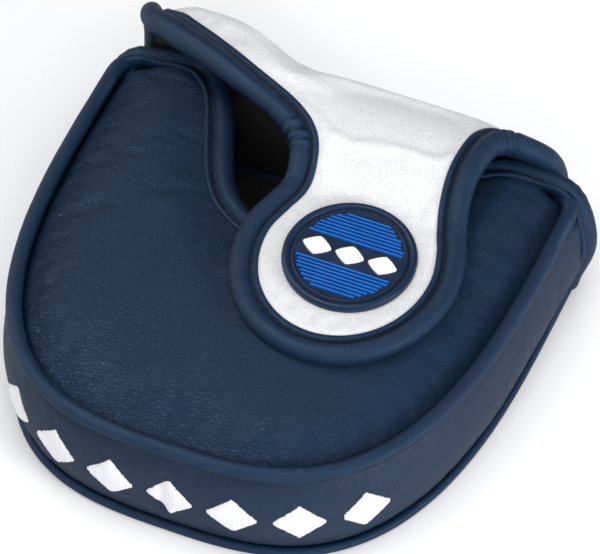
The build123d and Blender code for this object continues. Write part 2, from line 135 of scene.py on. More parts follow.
def wobble(s, seed, slow, quick):
    """Uneven thickness along s, about 1. slow and quick are (amount, length) pairs."""
    return (1 + slow[0] * noise_along(s, slow[1], seed)
            + quick[0] * noise_along(s, quick[1], seed + 1))


def catmull(control, per=12):
    """Catmull-Rom curve through the control rows, per points to each span."""
    c = np.asarray(control, float)
    p = np.vstack([2 * c[0] - c[1], c, 2 * c[-1] - c[-2]])
    t = np.arange(per)[:, None] / per
    out = []
    for i in range(1, len(p) - 2):
        before, a, b, after = p[i - 1:i + 3]
        out.append(0.5 * (2 * a + (b - before) * t
                          + (2 * before - 5 * a + 4 * b - after) * t ** 2
                          + (3 * a - before - 3 * b + after) * t ** 3))
    out.append(c[-1][None])
    return np.vstack(out)


def arc_lengths(p):
    return np.concatenate([[0], np.cumsum(np.linalg.norm(np.diff(p, axis=0), axis=1))])


def interp_rows(q, s, rows):
    """Every column of rows, known at s, read at q."""
    return np.stack([np.interp(q, s, column) for column in rows.T], 1)


def resample(p, step):
    p = np.asarray(p, float)
    s = arc_lengths(p)
    count = max(2, int(round(s[-1] / step)) + 1)
    return interp_rows(np.linspace(0, s[-1], count), s, p)


def smooth_line(p, rounds):
    p = p.copy()
    for _ in range(rounds):
        p[1:-1] = (p[:-2] + 2 * p[1:-1] + p[2:]) / 4
    return p


def unit(v):
    return v / np.linalg.norm(v, axis=-1)[..., None]


def tangents(p):
    return unit(np.gradient(p, axis=0))


def left_of(p):
    """Unit normals of a plan line, to the left of travel."""
    t = tangents(p)
    return np.stack([-t[:, 1], t[:, 0]], 1)


def offset(line, distance):
    return line + left_of(line) * distance


def nearest(points, line):
    """Distance from each plan point to the nearest point of a dense line, and its index."""
    dist = np.empty(len(points))
    index = np.empty(len(points), int)
    block = 4000                     # points at a time, to bound the memory
    for a in range(0, len(points), block):
        q = points[a:a + block, None, :] - line[None]
        q = (q * q).sum(2)
        index[a:a + block] = q.argmin(1)
        dist[a:a + block] = np.sqrt(q.min(1))
    return dist, index


def inside(points, poly):
    """Even-odd test of plan points in a closed polygon."""
    x, y = points[:, 0], points[:, 1]
    result = np.zeros(len(points), bool)
    for (x0, y0), (x1, y1) in zip(poly, np.roll(poly, -1, axis=0)):
        if y0 == y1:
            continue
        result ^= ((y0 > y) != (y1 > y)) & (x < (x1 - x0) * (y - y0) / (y1 - y0) + x0)
    return result


# ----------------------------------------------------------------------------
# Meshes
# ----------------------------------------------------------------------------
def mesh_object(name, verts, faces, mat, pat=None):
    """A smooth object from millimetre points. pat: places in the uncut leather, for the grain."""
    mesh = bpy.data.meshes.new(name)
    verts = np.asarray(verts, float)
    mesh.from_pydata((verts * MM).tolist(), [], [tuple(map(int, f)) for f in faces])
    mesh.validate()
    mesh.update()
    attribute = mesh.attributes.new("pat", "FLOAT_VECTOR", "POINT")
    values = np.asarray(pat if pat is not None else verts, np.float32)
    attribute.data.foreach_set("vector", values.ravel())
    mesh.materials.append(mat)
    mesh.polygons.foreach_set("use_smooth", [True] * len(mesh.polygons))
    obj = bpy.data.objects.new(name, mesh)
    bpy.context.scene.collection.objects.link(obj)
    return obj


def fit(obj, slot, *replaced, ride="pouch"):
    """Parent a piece to the empty of the part it rides on and hide the CAD nodes it replaces. The
    slot argument is not used.
    """
    if ride:
        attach(obj, ride)
    if replaced:
        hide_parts(*replaced)
    return obj


def fit_skin(obj, slot, *replaced, ride="pouch"):
    """Fit a piece whose mesh is also subdivided once."""
    mod = obj.modifiers.new("Subdivision", "SUBSURF")
    mod.levels = mod.render_levels = 1
    mod.boundary_smooth = "PRESERVE_CORNERS"
    return fit(obj, slot, *replaced, ride=ride)


def grid_faces(n, m, closed=False, flip=False):
    """Faces of an n by m grid of points; closed joins the last column to the first."""
    i = np.arange(n - 1)[:, None]
    j = np.arange(m if closed else m - 1)[None]
    after = (j + 1) % m
    f = np.stack([i * m + j, i * m + after, (i + 1) * m + after, (i + 1) * m + j], -1)
    f = f.reshape(-1, 4)
    return f[:, ::-1] if flip else f


def merge(parts):
    """Join (verts, faces) parts into one set of vertices and faces."""
    verts, faces, count = [], [], 0
    for part_verts, part_faces in parts:
        verts.append(part_verts)
        faces += [[q + count for q in face] for face in part_faces]
        count += len(part_verts)
    return np.vstack(verts), faces


def ring_angles(n):
    return np.arange(n) / n * TAU


def sweep(path, lat, nrm, sections):
    """Points of sections (len(path), m, 2) carried along path: first along lat, then along nrm."""
    return path[:, None] + lat[:, None] * sections[..., 0:1] + nrm[:, None] * sections[..., 1:2]


def strip_pattern(s, across):
    """Leather pattern of a swept strip: s along it, across round its section."""
    return np.stack(np.broadcast_arrays(s[:, None], across[None], 0 * across[None]), -1)


def tube_mesh(name, pts, mat, pat=None, flip=False):
    """Closed-section tube from swept points (n, m, 3), with domed caps."""
    n, m = pts.shape[:2]
    verts = pts.reshape(-1, 3)
    faces = grid_faces(n, m, True, flip).tolist()
    pat = (pat if pat is not None else pts).reshape(-1, 3)
    for end, inner in ((0, 1), (n - 1, n - 2)):
        tip = pts[end].mean(0) + (pts[end] - pts[inner]).mean(0) * 0.6
        k = len(verts)
        verts = np.vstack([verts, tip[None]])
        pat = np.vstack([pat, tip[None]])
        base = end * m
        for j in range(m):
            a, b = base + j, base + (j + 1) % m
            f = (b, a, k) if end == 0 else (a, b, k)
            faces.append(f[::-1] if flip else f)
    return mesh_object(name, verts, faces, mat, pat)


def sheet_cells(half_x, y0, y1, step, keep):
    """Regular plan cells whose centres pass keep(points). Returns plan points and faces."""
    nx, ny = int(round(2 * half_x / step)), int(round((y1 - y0) / step))
    xs, ys = np.linspace(-half_x, half_x, nx + 1), np.linspace(y0, y1, ny + 1)

    def grid(x, y):
        return np.stack(np.meshgrid(x, y, indexing="ij"), -1).reshape(-1, 2)

    centres = grid((xs[:-1] + xs[1:]) / 2, (ys[:-1] + ys[1:]) / 2)
    i, j = np.nonzero(keep(centres).reshape(nx, ny))
    a = i * (ny + 1) + j
    b = (i + 1) * (ny + 1) + j
    f = np.stack([a, b, b + 1, a + 1], 1)
    used = np.unique(f)
    remap = -np.ones((nx + 1) * (ny + 1), int)
    remap[used] = np.arange(len(used))
    return grid(xs, ys)[used], remap[f]


def stitches(name, pts, nrm, pitch, length, radius, sink=0.25):
    """Thread stitches lying along a line of points, each end diving sink deep into its hole."""
    rings, sides, slant = 9, 8, 0.10
    s = arc_lengths(pts)
    count = int(s[-1] / pitch)
    e = np.linspace(-1, 1, rings)
    rad = radius * np.sqrt(np.clip(1 - (np.abs(e) * 0.98) ** 4, 0, 1))[:, None, None]
    a = ring_angles(sides)[None, :, None]
    parts = []
    for k in range(count):
        start = (k + 0.5) * s[-1] / count - length / 2
        q = np.linspace(start, start + length, rings)
        p = interp_rows(q, s, pts)
        up = unit(interp_rows(q, s, nrm))
        side = np.cross(tangents(p), up)
        p = p - up * (sink * np.abs(e) ** 3)[:, None] + side * (slant * e)[:, None]
        ring = p[:, None] + (side[:, None] * np.cos(a) + up[:, None] * np.sin(a)) * rad
        parts.append((ring.reshape(-1, 3), grid_faces(rings, sides, True)))
    return mesh_object(name, *merge(parts), M_THREAD)


def puff(name, verts, faces, pin, pressure, grow, cap, stiff, bend):
    """Blow a pinned sheet up as pressure cloth.

    The cloth runs on a copy ten times the size. Returns the moved points, none further than cap.
    """
    enlarge, frames, damping = 10.0, 18, 8
    mesh = bpy.data.meshes.new(name)
    mesh.from_pydata((np.asarray(verts) * MM * enlarge).tolist(), [],
                     [tuple(map(int, f)) for f in faces])
    obj = bpy.data.objects.new(name, mesh)
    bpy.context.scene.collection.objects.link(obj)
    group = obj.vertex_groups.new(name="pin")
    pin = np.round(pin, 2)
    for weight in np.unique(pin):
        if weight > 0:
            group.add([int(i) for i in np.nonzero(pin == weight)[0]], float(weight), "REPLACE")
    mod = obj.modifiers.new("Cloth", "CLOTH")
    c = mod.settings
    c.quality = 6
    c.mass = 0.15
    c.tension_stiffness = c.compression_stiffness = stiff
    c.shear_stiffness = 5.0
    c.bending_stiffness = bend
    c.tension_damping = c.compression_damping = c.shear_damping = damping
    c.air_damping = 3
    c.vertex_group_mass = "pin"
    c.pin_stiffness = 1.0
    c.use_pressure = True
    c.uniform_pressure_force = pressure
    c.shrink_min = -grow
    c.effector_weights.gravity = 0
    mod.collision_settings.use_collision = False
    mod.point_cache.frame_start, mod.point_cache.frame_end = 1, frames
    scene = bpy.context.scene
    for f in range(1, frames + 1):
        scene.frame_set(f)
    moved = obj.evaluated_get(bpy.context.evaluated_depsgraph_get())
    co = np.empty(len(moved.data.vertices) * 3, np.float32)
    moved.data.vertices.foreach_get("co", co)
    co = co.reshape(-1, 3).astype(float) / (MM * enlarge)
    scene.frame_set(1)
    bpy.data.objects.remove(obj)
    bpy.data.meshes.remove(mesh)
    move = co - np.asarray(verts)
    move[~np.isfinite(move)] = 0
    dist = np.linalg.norm(move, axis=1)
    move *= (np.minimum(dist, cap) / np.maximum(dist, 1e-9))[:, None]
    return np.asarray(verts) + move


# ----------------------------------------------------------------------------
# Materials
# ----------------------------------------------------------------------------
def shade(color, factor, lift=0.0):
    """A colour made darker or lighter, held to 1."""
    return tuple(min(1.0, c * factor + lift) for c in color)


def rgba(c):
    return (c, c, c, 1) if isinstance(c, (int, float)) else (*c, 1)


class Shader:
    """A material with a Principled surface. Helpers return output sockets."""

    def __init__(self, name):
        self.mat = bpy.data.materials.new(name)
        self.mat.use_nodes = True
        self.tree = self.mat.node_tree
        self.tree.nodes.clear()
        out = self.tree.nodes.new("ShaderNodeOutputMaterial")
        self.bsdf = self.tree.nodes.new("ShaderNodeBsdfPrincipled")
        self.tree.links.new(self.bsdf.outputs[0], out.inputs[0])

    def feed(self, socket, value):
        if isinstance(value, bpy.types.NodeSocket):
            self.tree.links.new(value, socket)
        else:
            socket.default_value = rgba(value) if socket.type == "RGBA" else value

    def add(self, kind, inputs=None, **settings):
        node = self.tree.nodes.new(kind)
        for key, value in settings.items():
            setattr(node, key, value)
        for key, value in (inputs or {}).items():
            self.feed(node.inputs[key], value)
        return node

    def scaled(self, vec, scale):
        node = self.add("ShaderNodeMapping", {"Scale": scale, "Vector": vec})
        return node.outputs["Vector"]

    def pattern(self):
        """Place in the uncut leather, in millimetres."""
        return self.add("ShaderNodeAttribute", attribute_name="pat").outputs["Vector"]

    def place(self):
        """Place in the object, in millimetres."""
        coords = self.add("ShaderNodeTexCoord")
        return self.scaled(coords.outputs["Object"], (1000, 1000, 1000))

    def noise(self, vec, scale, detail=4.0, rough=0.55):
        return self.add("ShaderNodeTexNoise", {"Scale": scale, "Detail": detail,
                                               "Roughness": rough, "Vector": vec}).outputs["Fac"]

    def voronoi(self, vec, scale, feature="DISTANCE_TO_EDGE"):
        node = self.add("ShaderNodeTexVoronoi", {"Scale": scale, "Vector": vec}, feature=feature)
        return node.outputs["Distance"]

    def ramp(self, fac, stops, mode="LINEAR"):
        """stops: (position, grey or colour) pairs."""
        node = self.add("ShaderNodeValToRGB", {"Fac": fac})
        node.color_ramp.interpolation = mode
        elements = node.color_ramp.elements
        while len(elements) > 1:
            elements.remove(elements[0])
        elements[0].position, elements[0].color = stops[0][0], rgba(stops[0][1])
        for position, color in stops[1:]:
            elements.new(position).color = rgba(color)
        return node.outputs["Color"]

    def math(self, operation, a, b):
        return self.add("ShaderNodeMath", {0: a, 1: b}, operation=operation).outputs[0]

    def blend(self, a, b, share):
        """Sum of two values, share of a and the rest given as share of b."""
        return self.math("ADD", self.math("MULTIPLY", a, share[0]),
                         self.math("MULTIPLY", b, share[1]))

    def mix(self, fac, a, b):
        node = self.add("ShaderNodeMix", data_type="RGBA", blend_type="MIX")
        for index, value in ((0, fac), (6, a), (7, b)):
            self.feed(node.inputs[index], value)
        return node.outputs[2]

    def bump(self, height, distance, strength=1.0, under=None):
        node = self.add("ShaderNodeBump", {"Strength": strength, "Distance": distance,
                                           "Height": height})
        if under is not None:
            self.feed(node.inputs["Normal"], under)
        return node.outputs["Normal"]

    def worn(self, color, edge_color, start, amount):
        """Lighten sharp edges, from pointiness start up to 0.60."""
        geometry = self.add("ShaderNodeNewGeometry")
        wear = self.ramp(geometry.outputs["Pointiness"], [(start, 0.0), (0.60, 1.0)])
        return self.mix(self.math("MULTIPLY", wear, amount), color, edge_color)

    def finish(self, **inputs):
        """Set the Principled inputs, with _ for a space, and return the material."""
        for key, value in inputs.items():
            self.feed(self.bsdf.inputs[key.replace("_", " ")], value)
        return self.mat


def leather(name, dark, light, grain, grain_depth, fine_depth=0.00003, rough=(0.36, 0.52),
            spec=0.5, tint=(1.0, 1.0, 1.0), stretch=(1.0, 1.0, 1.0)):
    """Coated leather: creased pebbles with painted shade in the creases, blotchy tone and a roughness
    that follows them.
    """
    s = Shader(name)
    pos = s.scaled(s.pattern(), stretch)
    # bend the pebble pattern out of shape
    warp = s.add("ShaderNodeTexNoise", {"Scale": 0.9, "Detail": 2.0, "Vector": pos})
    shift = s.add("ShaderNodeVectorMath", {"Scale": 0.9, 0: warp.outputs["Color"]},
                  operation="SCALE")
    warped = s.add("ShaderNodeVectorMath", {0: pos, 1: shift.outputs[0]},
                   operation="ADD").outputs[0]
    # large and small pebbles; 0 in the creases, 1 on the tops
    large = s.ramp(s.voronoi(warped, scale=grain),
                   [(0.0, 0.0), (0.05, 0.45), (0.16, 0.86), (0.5, 1.0)], "EASE")
    small = s.ramp(s.voronoi(warped, scale=grain * 2.3),
                   [(0.0, 0.0), (0.09, 0.6), (0.3, 1.0)], "EASE")
    fine = s.noise(pos, scale=grain * 7.0, detail=5.0, rough=0.62)
    patch = s.noise(pos, scale=0.045, detail=3.0, rough=0.5)
    mid = s.noise(pos, scale=0.35, detail=3.0, rough=0.55)
    normal = s.bump(s.blend(large, small, share=(0.62, 0.38)), distance=grain_depth)
    normal = s.bump(fine, distance=fine_depth, under=normal)
    normal = s.bump(mid, distance=0.00022, strength=0.55, under=normal)
    tone = s.blend(patch, mid, share=(0.6, 0.4))
    color = s.ramp(tone, [(0.32, dark), (0.68, light)])
    # painted shade: the colour is pulled darker in the creases of the grain
    crease = s.math("SUBTRACT", 1.0, large)
    color = s.mix(s.math("MULTIPLY", crease, 0.5), color, shade(dark, 0.45))
    color = s.worn(color, shade(light, 2.2, lift=0.02), start=0.515, amount=0.22)
    gloss = s.ramp(s.blend(fine, tone, share=(0.45, 0.55)), [(0.3, rough[0]), (0.7, rough[1])])
    crease = s.math("SUBTRACT", 1.0, large)
    gloss = s.mix(crease, gloss, (min(1, rough[1] + 0.2),) * 3)
    return s.finish(Base_Color=color, Roughness=gloss, Normal=normal, Specular_IOR_Level=spec,
                    Specular_Tint=tint, Sheen_Weight=0.0, Sheen_Roughness=0.4)


def plush(name, base):
    """Short pile, with painted shade and highlight that follow the fibre bump."""
    s = Shader(name)
    pos = s.pattern()
    tuft = s.voronoi(pos, scale=1.5, feature="F1")
    fibre = s.noise(s.scaled(pos, (1, 1, 2.2)), scale=5.5, detail=5.0, rough=0.7)
    lay = s.noise(pos, scale=0.12, detail=3.0)
    normal = s.bump(s.math("ADD", s.math("MULTIPLY", tuft, -0.6), fibre), distance=0.0006)
    # painted shade and highlight: the pile is darker where the fibre bump is low and lighter where it
    # is high
    color = s.mix(s.ramp(fibre, [(0.35, 0.0), (0.7, 1.0)]), shade(base, 0.45), shade(base, 1.9))
    color = s.mix(s.math("MULTIPLY", lay, 0.5), color, shade(base, 0.6))
    return s.finish(Base_Color=color, Roughness=0.95, Normal=normal, Specular_IOR_Level=0.08,
                    Sheen_Weight=0.12, Sheen_Roughness=0.45)


def thread(name, base, twist=2.6, rough=0.5, sheen=0.4, patterned=True):
    """Twisted thread, with painted shade in the grooves of the twist."""
    s = Shader(name)
    pos = s.pattern() if patterned else s.place()
    wave = s.add("ShaderNodeTexWave", {"Scale": twist, "Distortion": 1.2, "Vector": pos},
                 wave_type="BANDS", bands_direction="DIAGONAL").outputs["Fac"]
    fuzz = s.noise(pos, scale=9.0, detail=4.0, rough=0.7)
    normal = s.bump(wave, distance=0.00008, strength=0.8)
    normal = s.bump(fuzz, distance=0.00003, strength=0.8, under=normal)
    # painted shade: the colour darkens where the twist's bump is low
    color = s.mix(wave, shade(base, 0.72), base)
    color = s.mix(s.math("MULTIPLY", fuzz, 0.3), color, shade(base, 0.8))
    return s.finish(Base_Color=color, Roughness=rough, Normal=normal, Sheen_Weight=sheen,
                    Sheen_Roughness=0.35)


def rubber(name, base, edge, rough):
    """Moulded rubber with a fine satin skin."""
    s = Shader(name)
    pos = s.pattern()
    fine = s.noise(pos, scale=5.0, detail=5.0, rough=0.6)
    blot = s.noise(pos, scale=0.25, detail=3.0)
    normal = s.bump(fine, distance=0.000035)
    color = s.mix(s.ramp(blot, [(0.35, 0.0), (0.7, 1.0)]), base, shade(base, 1.18, lift=0.002))
    color = s.worn(color, edge, start=0.51, amount=0.25)
    gloss = s.ramp(s.blend(fine, blot, share=(0.5, 0.5)),
                   [(0.3, rough - 0.06), (0.7, rough + 0.1)])
    return s.finish(Base_Color=color, Roughness=gloss, Normal=normal, Specular_IOR_Level=0.32,
                    Specular_Tint=(0.65, 0.82, 1.0))


def nickel(name):
    s = Shader(name)
    brushed = s.noise(s.scaled(s.place(), (1, 6, 1)), scale=2.0, detail=5.0, rough=0.7)
    normal = s.bump(brushed, distance=0.00002)
    color = s.mix(brushed, (0.5, 0.5, 0.52), (0.68, 0.68, 0.7))
    gloss = s.ramp(brushed, [(0.3, 0.22), (0.7, 0.4)])
    return s.finish(Base_Color=color, Metallic=1.0, Roughness=gloss, Normal=normal)


def floor_material():
    """Near white, but grey where glossy surfaces reflect it."""
    s = Shader("studio_floor")
    blot = s.noise(s.place(), scale=0.02, detail=3.0)
    rays = s.add("ShaderNodeLightPath")
    white = s.mix(blot, (0.94, 0.94, 0.945), (0.96, 0.96, 0.96))
    color = s.mix(rays.outputs["Is Glossy Ray"], white, (0.50, 0.51, 0.53))
    return s.finish(Base_Color=color, Roughness=0.85, Specular_IOR_Level=0.1)


NAVY_DARK, NAVY_LIGHT = (0.0046, 0.0188, 0.0515), (0.0068, 0.0252, 0.0675)
NAVY_RUBBER = (0.0050, 0.0150, 0.045)
BLUE_SHINE = (0.50, 0.70, 1.0)
M_TOP = leather("navy_grained_leather", NAVY_DARK, NAVY_LIGHT, grain=0.98, grain_depth=0.00026,
                fine_depth=0.00006, rough=(0.23, 0.36), spec=0.6, tint=BLUE_SHINE,
                stretch=(0.75, 1.2, 1.0))
# painted shade: the wall leather is the top's navy made darker, standing in for the shade on the
# front of the wall
M_WALL = leather("navy_wall_leather", shade(NAVY_DARK, 0.86), shade(NAVY_LIGHT, 0.86), grain=1.1,
                 grain_depth=0.00012, fine_depth=0.00004, rough=(0.34, 0.46), spec=0.55,
                 tint=(0.7, 0.82, 1.0))
M_ROLL = leather("navy_binding_leather", shade(NAVY_DARK, 0.92), shade(NAVY_LIGHT, 0.95),
                 grain=1.35, grain_depth=0.00010, fine_depth=0.00004, rough=(0.28, 0.40),
                 spec=0.55, tint=BLUE_SHINE, stretch=(1.5, 0.8, 1.0))
M_WHITE = leather("white_leather", (0.77, 0.775, 0.79), (0.815, 0.82, 0.83), grain=1.6,
                  grain_depth=0.000025, fine_depth=0.000012, rough=(0.42, 0.52), spec=0.4)
M_PLUSH = plush("black_plush", (0.0024, 0.0024, 0.0030))
M_THREAD = thread("navy_thread", (0.0035, 0.008, 0.022), sheen=0.05)
M_SATIN = thread("white_embroidery_thread", (0.93, 0.94, 0.97), twist=1.6, rough=0.38, sheen=0.35)
M_RUBBER = rubber("navy_rubber", NAVY_RUBBER, edge=shade(NAVY_RUBBER, 1.8, lift=0.02), rough=0.42)
M_BLUE = rubber("blue_rubber", (0.0, 0.085, 0.38), edge=(0.02, 0.22, 0.68), rough=0.40)
M_MARK = rubber("white_rubber", (0.82, 0.83, 0.85), edge=(0.95, 0.95, 0.96), rough=0.4)
M_TAPE = leather("navy_tape", NAVY_DARK, NAVY_LIGHT, grain=2.2, grain_depth=0.00004)
M_CORD = thread("cotton_cord", (0.5, 0.48, 0.42), patterned=False)
M_NICKEL = nickel("nickel_plate")


# ----------------------------------------------------------------------------
# Pouch outline, crown and mouth seam
# ----------------------------------------------------------------------------
def u_line(off, y_end, n=900):
    """Plan outline moved out by off, from the right rear end round the front to the left rear.

    Its left side is the outside.
    """
    w, b = HALF_W + off, U_DEPTH + off
    a = np.linspace(0, math.pi, n)
    c, s = np.abs(np.cos(a)), np.abs(np.sin(a))
    r = ((c / w) ** U_EXP + (s / b) ** U_EXP) ** (-1 / U_EXP)
    x, y = r * np.cos(a), Y_SQUARE - r * np.sin(a)
    if y_end > Y_SQUARE:
        k = max(2, int((y_end - Y_SQUARE) / 0.5))
        ys = np.linspace(y_end, Y_SQUARE, k, endpoint=False)
        x = np.concatenate([np.full(k, w), x, np.full(k, -w)])
        y = np.concatenate([ys, y, ys[::-1]])
    return np.stack([x, y], 1)


def within(off, y_end):
    """A test for plan points inside the outline."""
    outline = resample(u_line(off, y_end), LINE_STEP)
    return lambda p: inside(p, outline)


def crown_z(x, y):
    """Height of the domed top face."""
    w, b = HALF_W - 2.5, U_DEPTH - 2.5
    s = np.maximum(0.0, Y_SQUARE - y)
    rho = ((np.abs(x) / w) ** 3 + (s / b) ** 3) ** (1 / 3)
    lift = 1.0 - np.minimum(rho, 1.15) ** 4
    rear = 1.0 - 0.45 * np.maximum(0.0, (y - 10.0) / 50.0) ** 2
    return CROWN_BASE_Z + CROWN_RISE * lift * rear


# Mouth seam on the top panel (x, y), left to right; its left side is the opening
MOUTH_SEAM = [
    (-55.5, 58.9), (-51.8, 60.0), (-46.6, 60.6), (-42.4, 59.9), (-38.9, 57.4), (-35.6, 53.2),
    (-33.3, 48.8), (-31.0, 43.7), (-27.4, 35.0), (-23.9, 27.4), (-20.2, 21.8), (-16.4, 18.0),
    (-11.0, 14.6), (-5.5, 12.7), (0.0, 12.1), (5.5, 12.7), (11.0, 14.6), (16.4, 18.0),
    (20.2, 21.8), (23.9, 27.4), (27.4, 35.0), (31.0, 43.7), (33.7, 49.2), (37.0, 54.2),
    (41.4, 57.6), (46.6, 59.3), (51.4, 59.6), (55.2, 58.9)]
MOUTH_LINE = resample(smooth_line(catmull(MOUTH_SEAM, 24), 6), 0.4)
MOUTH_POLY = np.vstack([MOUTH_LINE, [[55.2, 90.0], [-55.5, 90.0]]])

# The outline, and the top welt's line, which turns in at rounded rear corners (x, y)
OUTLINE = resample(u_line(0.0, 60.0), LINE_STEP)
CORNER_R = [(56.6, 59.9), (58.6, 58.6), (60.6, 56.6), (61.8, 53.6)]
CORNER_L = [(-61.8, 54.6), (-60.6, 57.2), (-58.6, 59.2), (-56.6, 60.4)]
WELT_LINE = catmull(np.vstack([CORNER_R, u_line(0.0, 51.0, 240), CORNER_L]), 8)
WELT_LINE = resample(smooth_line(resample(WELT_LINE, LINE_STEP), 4), LINE_STEP)


# ----------------------------------------------------------------------------
# Flap shape: pattern x across, u along from the rear joint, h outside the outer face
# ----------------------------------------------------------------------------
def top_face_z(y):
    return FLAP_END_Z + (y - FLAP_END_Y) * TILT


# Side view of the outer face (y, z): up behind the mouth, over the fold, forward along the top
FLAP_SIDE = [
    (62.9, 2.6), (65.6, 7.0), (68.0, 14.0), (69.0, 22.0), (68.2, 30.0), (65.6, 36.4),
    (61.0, 41.8), (54.0, 45.8), (46.0, 46.9), (39.5, 46.1), (34.0, 44.3), (30.0, 42.5),
    (27.0, top_face_z(27.0) + 0.1), (22.0, top_face_z(22.0)), (10.0, top_face_z(10.0)),
    (-4.0, top_face_z(-4.0)), (FLAP_END_Y, FLAP_END_Z)]
SIDE = resample(smooth_line(catmull(FLAP_SIDE, 40), 30), 0.15)
SIDE_S = arc_lengths(SIDE)
SIDE_T = tangents(SIDE)


def side_point(u, h):
    """(y, z) of the side view at u, carried on straight beyond both ends."""
    y, z = (np.interp(u, SIDE_S, SIDE[:, k]) for k in (0, 1))
    ty, tz = (np.interp(u, SIDE_S, SIDE_T[:, k]) for k in (0, 1))
    over = np.minimum(u, 0) + np.maximum(u - SIDE_S[-1], 0)
    return y + ty * over + tz * h, z + tz * over - ty * h


def shoulder_lift(x, u):
    """How far (dy, dz) the flap's shoulders stand out from the plain side view."""
    left = ease((4.0 - x) / 36.0) * ease((u - 6.0) / 30.0) * (1 - ease((u - 60.0) / 18.0))
    left_fold = (ease((-10.0 - x) / 28.0) * (1 - 0.62 * ease((-45.0 - x) / 11.0))
                 * bell(u - 36.0, 10.0))
    right = ease((x - 34.0) / 20.0) * ease((u - 6.0) / 24.0)
    left_back = (ease((-8.0 - x) / 24.0) * ease((u - 4.0) / 16.0)
                 * (1 - ease((u - 34.0) / 14.0)))
    right_fold = ease((52.0 - x) / 16.0) * ease((x + 16.0) / 16.0) * bell(u - 38.0, 10.0)
    return (1.2 * left + 2.9 * left_fold + 1.0 * left_back + 0.6 * right_fold,
            2.6 * left + 4.0 * left_fold + 0.3 * right + 1.2 * right_fold)


def flap_xyz(x, u, h):
    """Points of the flap from its flat pattern."""
    x, u, h = np.broadcast_arrays(*(np.asarray(q, float) for q in (x, u, h)))
    y, z = side_point(u, h)
    dy, dz = shoulder_lift(x, u)
    return np.stack([x, y + dy, z + dz], -1)


def flap_normal(x, u):
    e = 0.2
    return unit(np.cross(flap_xyz(x + e, u, 0) - flap_xyz(x - e, u, 0),
                         flap_xyz(x, u + e, 0) - flap_xyz(x, u - e, 0)))


on_top = np.nonzero(SIDE[:, 1] > 38.5)[0]
BADGE_U = float(SIDE_S[on_top[np.argmin(np.abs(SIDE[on_top, 0] - BADGE_Y))]])

# Seam of the flap's binding (x, u): up the left side, round the tip, down the right side
FLAP_LEFT = [
    (-57.0, -0.5), (-57.3, 14.0), (-57.2, 26.0), (-56.8, 36.0), (-54.0, 42.6), (-47.0, 46.4),
    (-36.5, 50.5), (-23.5, 56.0), (-10.5, 61.0), (-3.6, 66.5), (-1.0, 74.0), (-1.0, 80.0)]
FLAP_RIGHT = [
    (41.1, 80.0), (38.9, 73.0), (37.5, 64.0), (37.5, 55.0), (38.4, 47.8), (41.2, 41.8),
    (45.7, 37.8), (49.8, 33.4), (52.1, 27.0), (53.0, 19.0), (54.0, 10.0), (54.8, -0.5)]
FLAP_TIP = [
    (BADGE_X - 0.6 + FLAP_TIP_R * math.cos(math.radians(q)),
     BADGE_U + FLAP_TIP_R * math.sin(math.radians(q)) * (1.11 if q < 180 else 1.0))
    for q in np.linspace(204, -24, 13)]
FLAP_EDGE = smooth_line(resample(catmull(FLAP_LEFT + FLAP_TIP + FLAP_RIGHT, 16), 0.5), 4)
FLAP_EDGE = resample(FLAP_EDGE, 0.6)
FLAP_EDGE_OUT = left_of(FLAP_EDGE)       # points away from the white panel


def in_flap(p):
    dist, _ = nearest(p, FLAP_EDGE)
    return (inside(p, FLAP_EDGE) | (dist < 0.4)) & (p[:, 1] > -0.4)


def flap_cells(step):
    return sheet_cells(60.0, -1.0, BADGE_U + 30.0, step, in_flap)


# ----------------------------------------------------------------------------
# Top panel
# ----------------------------------------------------------------------------
def top_panel():
    within_welt = offset(WELT_LINE, -0.9)

    def keep(p):
        """Inside the welt, with a narrow turning left round the mouth."""
        ok = inside(p, within_welt) & (p[:, 1] < 61.6)
        dist, _ = nearest(p, MOUTH_LINE)
        return ok & (~inside(p, MOUTH_POLY) | (dist < 1.6))

    plan, faces = sheet_cells(63.0, -57.0, 62.0, 1.15, keep)
    welt, welt_index = nearest(plan, WELT_LINE)
    mouth, _ = nearest(plan, MOUTH_LINE)
    mouth = np.where(inside(plan, MOUTH_POLY), 0.0, mouth)
    # the face dips to both seams
    z = crown_z(plan[:, 0], plan[:, 1])
    z = z - 3.0 * fade(welt, 1.6, 1.55) - 0.30 * fade(welt, 1.6, 6.0)
    z = z - 0.75 * np.exp(-(mouth / 1.7) ** 1.5)
    pin = np.maximum.reduce([ease((3.4 - welt) / 1.0), ease((2.2 - mouth) / 1.2),
                             ease((plan[:, 1] - 56.6) / 1.6)])
    verts = puff("sim_top", np.column_stack([plan, z]), faces, pin,
                 pressure=1.1, grow=0.012, cap=1.6, stiff=18, bend=1.2)
    # faint pull marks running in from the welt seam, then broad unevenness
    near_seam = fade(welt, 2.2, 4.5) * ease((welt - 1.8) / 1.5)
    along = welt_index * LINE_STEP
    verts[:, 2] += 0.16 * near_seam * noise3(flat(along / 3.1, welt / 16.0), 5)
    verts[:, 2] += 0.22 * fbm(flat(plan / 22.0), 9, 2) * ease((welt - 4) / 10.0)
    fit_skin(mesh_object("top_panel_skin", verts, faces, M_TOP, flat(plan)),
             "navy_leather", "top_panel", "top_foam")


def top_lining():
    in_outline = within(-3.5, 57.6)
    plan, faces = sheet_cells(60.0, -54.0, 58.0, 2.0,
                              lambda p: in_outline(p) & ~inside(p, MOUTH_POLY))
    z = crown_z(plan[:, 0], plan[:, 1]) - 4.7 + 0.25 * fbm(flat(plan / 5.0), 3)
    fit_skin(mesh_object("top_lining_skin", np.column_stack([plan, z]), faces[:, ::-1], M_PLUSH),
             "black_plush", "top_lining")


# ----------------------------------------------------------------------------
# Side wall
# ----------------------------------------------------------------------------
WALL_LINE = resample(u_line(0.0, 57.2), 1.0)
WALL_S = arc_lengths(WALL_LINE)
# Heights of the wall's rows of points
WALL_Z = np.array([2.2, 2.8, 3.6, 4.8, 6.0, 7.4, 9.0, 10.6, 12.4, 14.2, 16.0, 17.8, 19.6, 21.2,
                   22.6, 24.0, 25.4, 26.6, 27.6, 28.4, 29.0])
